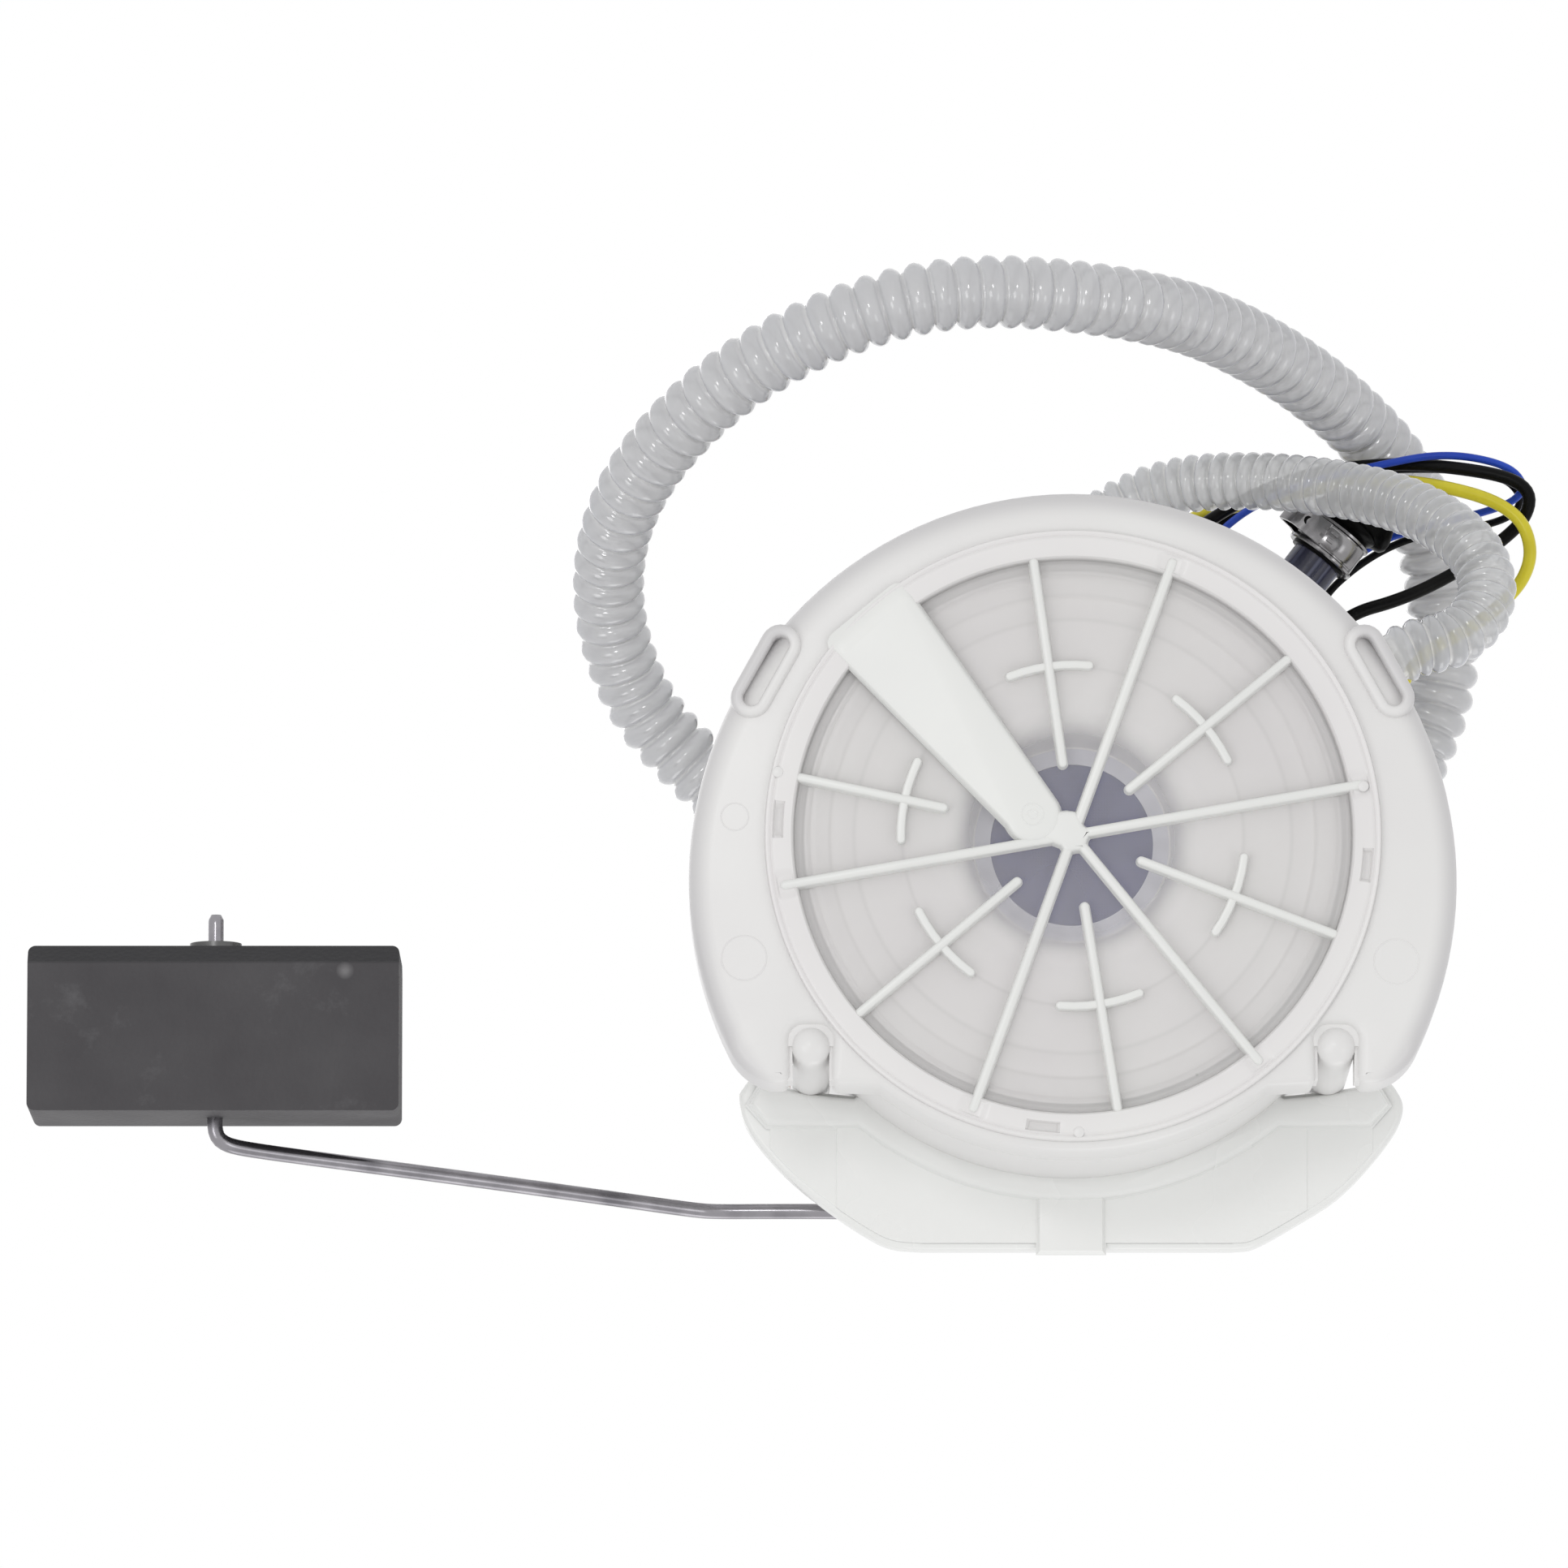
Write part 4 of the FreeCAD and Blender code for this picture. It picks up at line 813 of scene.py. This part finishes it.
# The two coil springs, wound from spring steel wire, with a closed turn at each end.
spring_steel = drawn("spring_steel", (0.42, 0.42, 0.43), (0.3, 0.3, 0.31), 0.3, (1, 1, 1))
SPRING_LOW, SPRING_HIGH, SPRING_R, SPRING_WIRE = 0.1046, 0.1398, 0.0052, 0.0012
OPEN_TURNS, TURN_STEPS = 4, 36
for side, name in ((-1, "guide_spring_left"), (1, "guide_spring_right")):
    coil = []
    for i in range(TURN_STEPS * (OPEN_TURNS + 2) + 1):
        turn = i / TURN_STEPS
        climb = min(max(turn - 1, 0), OPEN_TURNS) / OPEN_TURNS
        flat = min(turn, 1) + max(turn - 1 - OPEN_TURNS, 0)
        z = SPRING_LOW + SPRING_WIRE / 2 + (SPRING_HIGH - SPRING_LOW - SPRING_WIRE * 3) * climb + SPRING_WIRE * flat
        a = math.tau * turn
        coil.append(Vector((side * 0.0363 + SPRING_R * math.cos(a), 0.0247 + SPRING_R * math.sin(a), z)))
    spring = tube_along(name, spring_steel, coil, 0.0009, 12, lambda s, whole: (SPRING_WIRE / 2, 0))
    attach(spring, "pot")
    if side < 0:
        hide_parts("guide_springs")
    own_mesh(spring)

# ------------------------------------------------------------------------------
# The return line's stub: a navy nylon tube on the lid's nipple, a black rubber elbow pushed over its end and the
# steel ear clamp that squeezes it, rolled from strip with folded edges and one pinched ear.
STUB_AT, STUB_WAY = Vector((-24, 37, 112)), Vector((-0.6112, 0.7915, 0))
STUB_SIDE = Vector((0.7915, 0.6112, 0))
navy = moulded("stub_nylon", (0.008, 0.009, 0.03), (0.015, 0.017, 0.05), 0.25, 200, 900, 0, 0.1)
# lengthwise lines run along it, 0.9 to each millimetre across, painted pale as a painted highlight where they glint
LINES = 900
tree, shader, coat = nodes_of(navy)
place = place_in(tree)
across = add(tree, "VectorMath", place, STUB_SIDE * LINES, operation="DOT_PRODUCT")
tall = maths(tree, "MULTIPLY", (add(tree, "SeparateXYZ", place), "Z"), LINES)
glint_lines = add(tree, "TexNoise", add(tree, "CombineXYZ", across, tall), Scale=1, Detail=2)
glint_line_fit = fit(tree, glint_lines, 0.5, 0.72)
feed(shader, "Base Color", blended(tree, glint_line_fit, (coat, "Colour"), (0.12, 0.13, 0.2, 1)))
wear("hose_stub", navy)

elbow_black = moulded("elbow_rubber", (0.002, 0.002, 0.002), (0.004, 0.004, 0.004), 0.3, 90, 800, 0, 0.1,
                      Specular_IOR_Level=0.05)
MOUTH = STUB_AT + STUB_WAY * 31.5
BEND = MOUTH + STUB_WAY * 9.5
ELBOW_RUN = [MOUTH, MOUTH + STUB_WAY * 5, MOUTH + STUB_WAY * 8, BEND, BEND + Vector((-2.4, -0.3, 0.5)),
             BEND + Vector((-6.8, -0.7, 1.4))]
elbow_line = flowing_line([tuple(p) for p in ELBOW_RUN])


def elbow_radius(s, whole):
    """A collar at the mouth, a waist behind the clamp and a bead at the far end."""
    collar = 1.3 * math.exp(-((s - 0.0079) / 0.0011) ** 2) + 0.5 * math.exp(-((s - 0.0108) / 0.0009) ** 2)
    bead = 0.5 * math.exp(-((whole - s - 0.0016) / 0.0009) ** 2)
    close = 1 - 0.35 * max(0, 1 - (whole - s) / 0.0008) ** 2
    return (5.1 + collar + bead) * close * MM, 0


elbow = tube_along("elbow_rubber_bend", elbow_black, elbow_line, 0.0004, 32, elbow_radius)
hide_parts("rubber_elbow")
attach(elbow, "pot")

clamp_steel = drawn("clamp_steel", (0.3, 0.295, 0.3), (0.17, 0.165, 0.17), 0.2, (0.15, 0.15, 0.15), 0.02)
clamp = bmesh.new()


def round_band(bm, profile, first=0, last=360):
    """A strip rolled round the stub, by its profile of distance along the stub and radius."""
    closed = last - first >= 360
    angles = [math.radians(first + (last - first) * k / 56) for k in range(56 + (not closed))]
    way = [STUB_SIDE * math.cos(a) + Vector((0, 0, math.sin(a))) for a in angles]
    rings = [[bm.verts.new((STUB_AT + STUB_WAY * s + w * radius) * MM) for w in way] for s, radius in profile]
    for a, b in zip(rings, rings[1:] + rings[:1]):
        skin_between(bm, a, b, closed)
    if not closed:
        bm.faces.new([ring[0] for ring in rings])
        bm.faces.new([ring[-1] for ring in rings][::-1])


round_band(clamp, ((32, 5.12), (32, 5.9), (32.2, 6.15), (32.6, 6.15), (32.8, 5.8), (34.9, 5.76), (37, 5.8),
                   (37.2, 6.15), (37.6, 6.15), (37.8, 5.9), (37.8, 5.12)))
round_band(clamp, ((33.1, 5.8), (33.1, 6.15), (33.3, 6.25), (36.5, 6.25), (36.7, 6.15), (36.7, 5.8)), 205, 330)
for s, first in ((34.1, 262), (34.1, 280), (35.5, 262), (35.5, 280)):
    round_band(clamp, ((s, 6.2), (s + 0.1, 6.42), (s + 0.7, 6.42), (s + 0.8, 6.2)), first, first + 12)
half_ear = ((4.4, 4.1), (5.6, 3.1), (6.6, 2.5), (8.8, 2.4), (9.5, 1.8), (9.7, 0))
ear = bar_outline(spots(*((x, -y) for x, y in half_ear), *half_ear[-2::-1]), 0.33)
EAR_WAY = (STUB_SIDE * math.cos(math.radians(35)) - Vector((0, 0, math.sin(math.radians(35))))).normalized()
EAR_SIDE = EAR_WAY.cross(STUB_WAY)
ends = [[clamp.verts.new((STUB_AT + STUB_WAY * s + EAR_WAY * p.x + EAR_SIDE * p.y) * MM) for p in ear]
        for s in (32.9, 37)]
skin_between(clamp, *ends)
clamp.faces.new(ends[0][::-1])
clamp.faces.new(ends[1])
ear_clamp = finished("ear_clamp_strip", clamp, clamp_steel)
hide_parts("ear_clamp")
# painted shade: the ear's two pinch dimples are shallow cones in black rubber that stand for the shade in them
dimple = bmesh.new()
for side in (-1, 1):
    centre = STUB_AT + STUB_WAY * 34.95 + EAR_WAY * 7.8 + EAR_SIDE * side * 2.78
    ring = [dimple.verts.new((centre + (STUB_WAY * math.cos(a) + EAR_WAY * math.sin(a)) * 0.75) * MM)
            for a in (math.tau * k / 24 for k in range(24))]
    tip = dimple.verts.new((centre - EAR_SIDE * side * 0.02) * MM)
    for k in range(24):
        dimple.faces.new((ring[k], ring[(k + 1) % 24], tip))
ear_dimple_shade = finished("ear_dimple_shade", dimple, elbow_black)
for piece in (ear_clamp, ear_dimple_shade):
    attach(piece, "pot")

# ------------------------------------------------------------------------------
# The level sender's carrier, moulded in milky POM and clipped on the pot's front, with the grey sender housing,
# the ceramic resistor board, the hub and its contact strips.
shelf_pom = moulded("shelf_pom", (0.865, 0.87, 0.855), (0.855, 0.86, 0.845), 0.26, 24, 600, 0.2, 0.06,
                    Specular_IOR_Level=0.5)


def smooth_edge(points, parts=5):
    """A smooth line through points."""
    line = []
    for i in range(len(points) - 1):
        a, b = points[i], points[i + 1]
        before = points[i - 1] if i else a * 2 - b
        after = points[i + 2] if i + 2 < len(points) else b * 2 - a
        for t in (k / parts for k in range(parts)):
            line.append((a * 2 + (b - before) * t + (before * 2 - a * 5 + b * 4 - after) * t * t
                         + (a * 3 - before - b * 3 + after) * t ** 3) / 2)
    return line + [points[-1]]


def between(outline, low, high):
    """The part of a closed outline between two values of X."""
    for limit, sign in ((low, 1), (high, -1)):
        kept = []
        for a, b in zip(outline, outline[1:] + outline[:1]):
            inside_a, inside_b = (a.x - limit) * sign >= 0, (b.x - limit) * sign >= 0
            if inside_a:
                kept.append(a)
            if inside_a != inside_b:
                kept.append(a.lerp(b, (limit - a.x) / (b.x - a.x)))
        outline = kept
    return outline


right_edge = spots((50.6, -32.8), (53, -35.6), (53.6, -37.6), (51.9, -42.8), (46.1, -49.8), (38.5, -56),
                   (32.1, -60.2), (28.4, -61.7), (24, -62.1))
left_edge = spots((-26.5, -62.1), (-30.3, -61.5), (-37.2, -57.7), (-43.6, -53.6), (-49, -48.2), (-53.2, -42.6),
                  (-54.4, -38.8), (-53.2, -35.8), (-50.6, -32.8))
tray_edge = (smooth_edge(right_edge) + smooth_edge(left_edge) + spots((-50.2, -35.2), (-42, -36.9))
             + arc(0, 0, 50.95, 227.5, 312.5, 3) + spots((42, -36.9), (50.2, -35.2)))
tray = bmesh.new()
drawn_in(tray, tray_edge, ((1, 43.5), (0.5, 43.6), (0.15, 43.95), (0, 44.6), (0, 48.7), (0.3, 49), (1.7, 49),
                           (2, 48.7), (2, 45.2)), close_first=True)
for low, high, top in ((-49.4, 48.6, 43.25), (-38.7, 37.8, 43)):
    plate = between(inset(tray_edge, 1), low, high)
    stacked(tray, [(plate, 43.6), (plate, top + 0.1), (inset(plate, 0.12), top)])
lip_edge = (spots((50.2, -35.6), (42, -36.9), (35, -37.6)) + arc(0, 0, 50, -47.5, -132.5, 3)
            + spots((-35, -37.6), (-42, -36.9), (-50.2, -35.6), (-52, -38.6), (-49, -42), (-39.5, -42.2))
            + arc(0, 0, 54.2, -129, -51, 3) + spots((39.5, -42.2), (49, -42), (52, -38.6)))
drawn_in(tray, lip_edge, ((-0.5, 43.3), (-0.1, 42.9), (0, 42.2), (0.12, 41.6), (0.45, 41.15), (0.9, 41)))
boss = spots((-5.6, -62.7), (5, -62.7), (5, -53.2), (-5.6, -53.2))
drawn_in(tray, boss, ((-0.4, 43.2), (-0.1, 42.9), (0, 42.5), (0.25, 42.1), (0.7, 42)))
saddle = spots((-17, -52.4), (17, -52.4)) + arc(0, 0, 50.85, -70.5, -109.5, 3)
drawn_in(tray, saddle, ((0, 44.5), (0, 87.6), (0.3, 88)), close_first=True)
carrier = finished("sender_carrier_moulding", tray, shelf_pom)
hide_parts("sender_carrier")
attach(carrier, "pot")
wear("sender_housing", moulded("sender_pbt", (0.6, 0.61, 0.6), (0.52, 0.53, 0.52), 0.45))
wear("resistor_board", moulded("resistor_ceramic", (0.66, 0.65, 0.6), (0.57, 0.55, 0.49), 0.5, 120))
wear("arm_hub", moulded("hub_pom", (0.63, 0.64, 0.62), (0.55, 0.56, 0.54), 0.4))
wear("wiper_contacts", drawn("contact_silver", (0.8, 0.78, 0.7), (0.6, 0.58, 0.5), 0.2, (1, 1, 1)))
wear("float_clip", drawn("clip_steel", (0.14, 0.14, 0.14), (0.08, 0.08, 0.08), 0.3, (1, 1, 1), 0.02))

# ------------------------------------------------------------------------------
# The float arm, bent from 2.5 mm stainless wire, and the float, a block of closed-cell foam rubber that turns on
# its end.
arm_steel = drawn("arm_steel", (0.3, 0.29, 0.31), (0.17, 0.165, 0.18), 0.2, (0.1, 1, 1), 0.03)
ARM_RUN = (
    (-0.5, -57.35, 58), (10, -57.35, 58), (20, -57.35, 58), (27, -57.3, 58.05), (33.6, -54.35, 58.65),
    (38, -54.2, 58.9), (50, -54.12, 59.6), (57.5, -54.1, 60.1), (61, -53.95, 59.3), (75, -52.7, 52.4),
    (100, -50.6, 40.3), (125, -48.65, 28.3), (133.6, -47.9, 24.1), (136.6, -47.3, 22.4), (138, -45.8, 22),
    (138, -42.6, 22), (138, -30, 22), (138, -10.2, 22),
)
arm_line = flowing_line(ARM_RUN)
arm_wire = tube_along("float_arm_wire", arm_steel, arm_line, 0.0008, 20, lambda s, whole: (
    0.00125 - 0.0004 * max(0, 1 - (whole - s) / 0.0004), 0))
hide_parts("float_arm")
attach(arm_wire, "arm")

foam = moulded("float_foam", (0.052, 0.049, 0.053), (0.04, 0.037, 0.041), 0.62, 60, 1400, 0, 0.35)
tree, shader, coat = nodes_of(foam)
place = place_in(tree)
feed(tree.nodes["Bump"], "Height", add(tree, "TexVoronoi", place, Scale=1100))
scuff = add(tree, "TexNoise", place, Scale=55, Detail=8, Roughness=0.7)
scuff_fit = fit(tree, scuff, 0.58, 0.78)
scuffed = blended(tree, scuff_fit, (coat, "Colour"), (0.096, 0.094, 0.1, 1))
# painted shade: its back edge, which faces away from the light, is painted darker; and one corner has a pale rub mark
apart = add(tree, "SeparateXYZ", place)
back_shade_mask = fit(tree, (apart, "Y"), -0.0195, -0.019)
back_painted_shade = blended(tree, back_shade_mask, scuffed, (0.012, 0.0115, 0.014, 1))
from_corner = add(tree, "VectorMath", place, (0.1168, -0.0206, 0.011), operation="DISTANCE")
rub_fit = fit(tree, from_corner, 0.0015, 0.0003)
rub = maths(tree, "MULTIPLY", rub_fit, scuff)
feed(shader, "Base Color", blended(tree, rub, back_painted_shade, (0.25, 0.245, 0.25, 1)))
wear("float_block", foam)
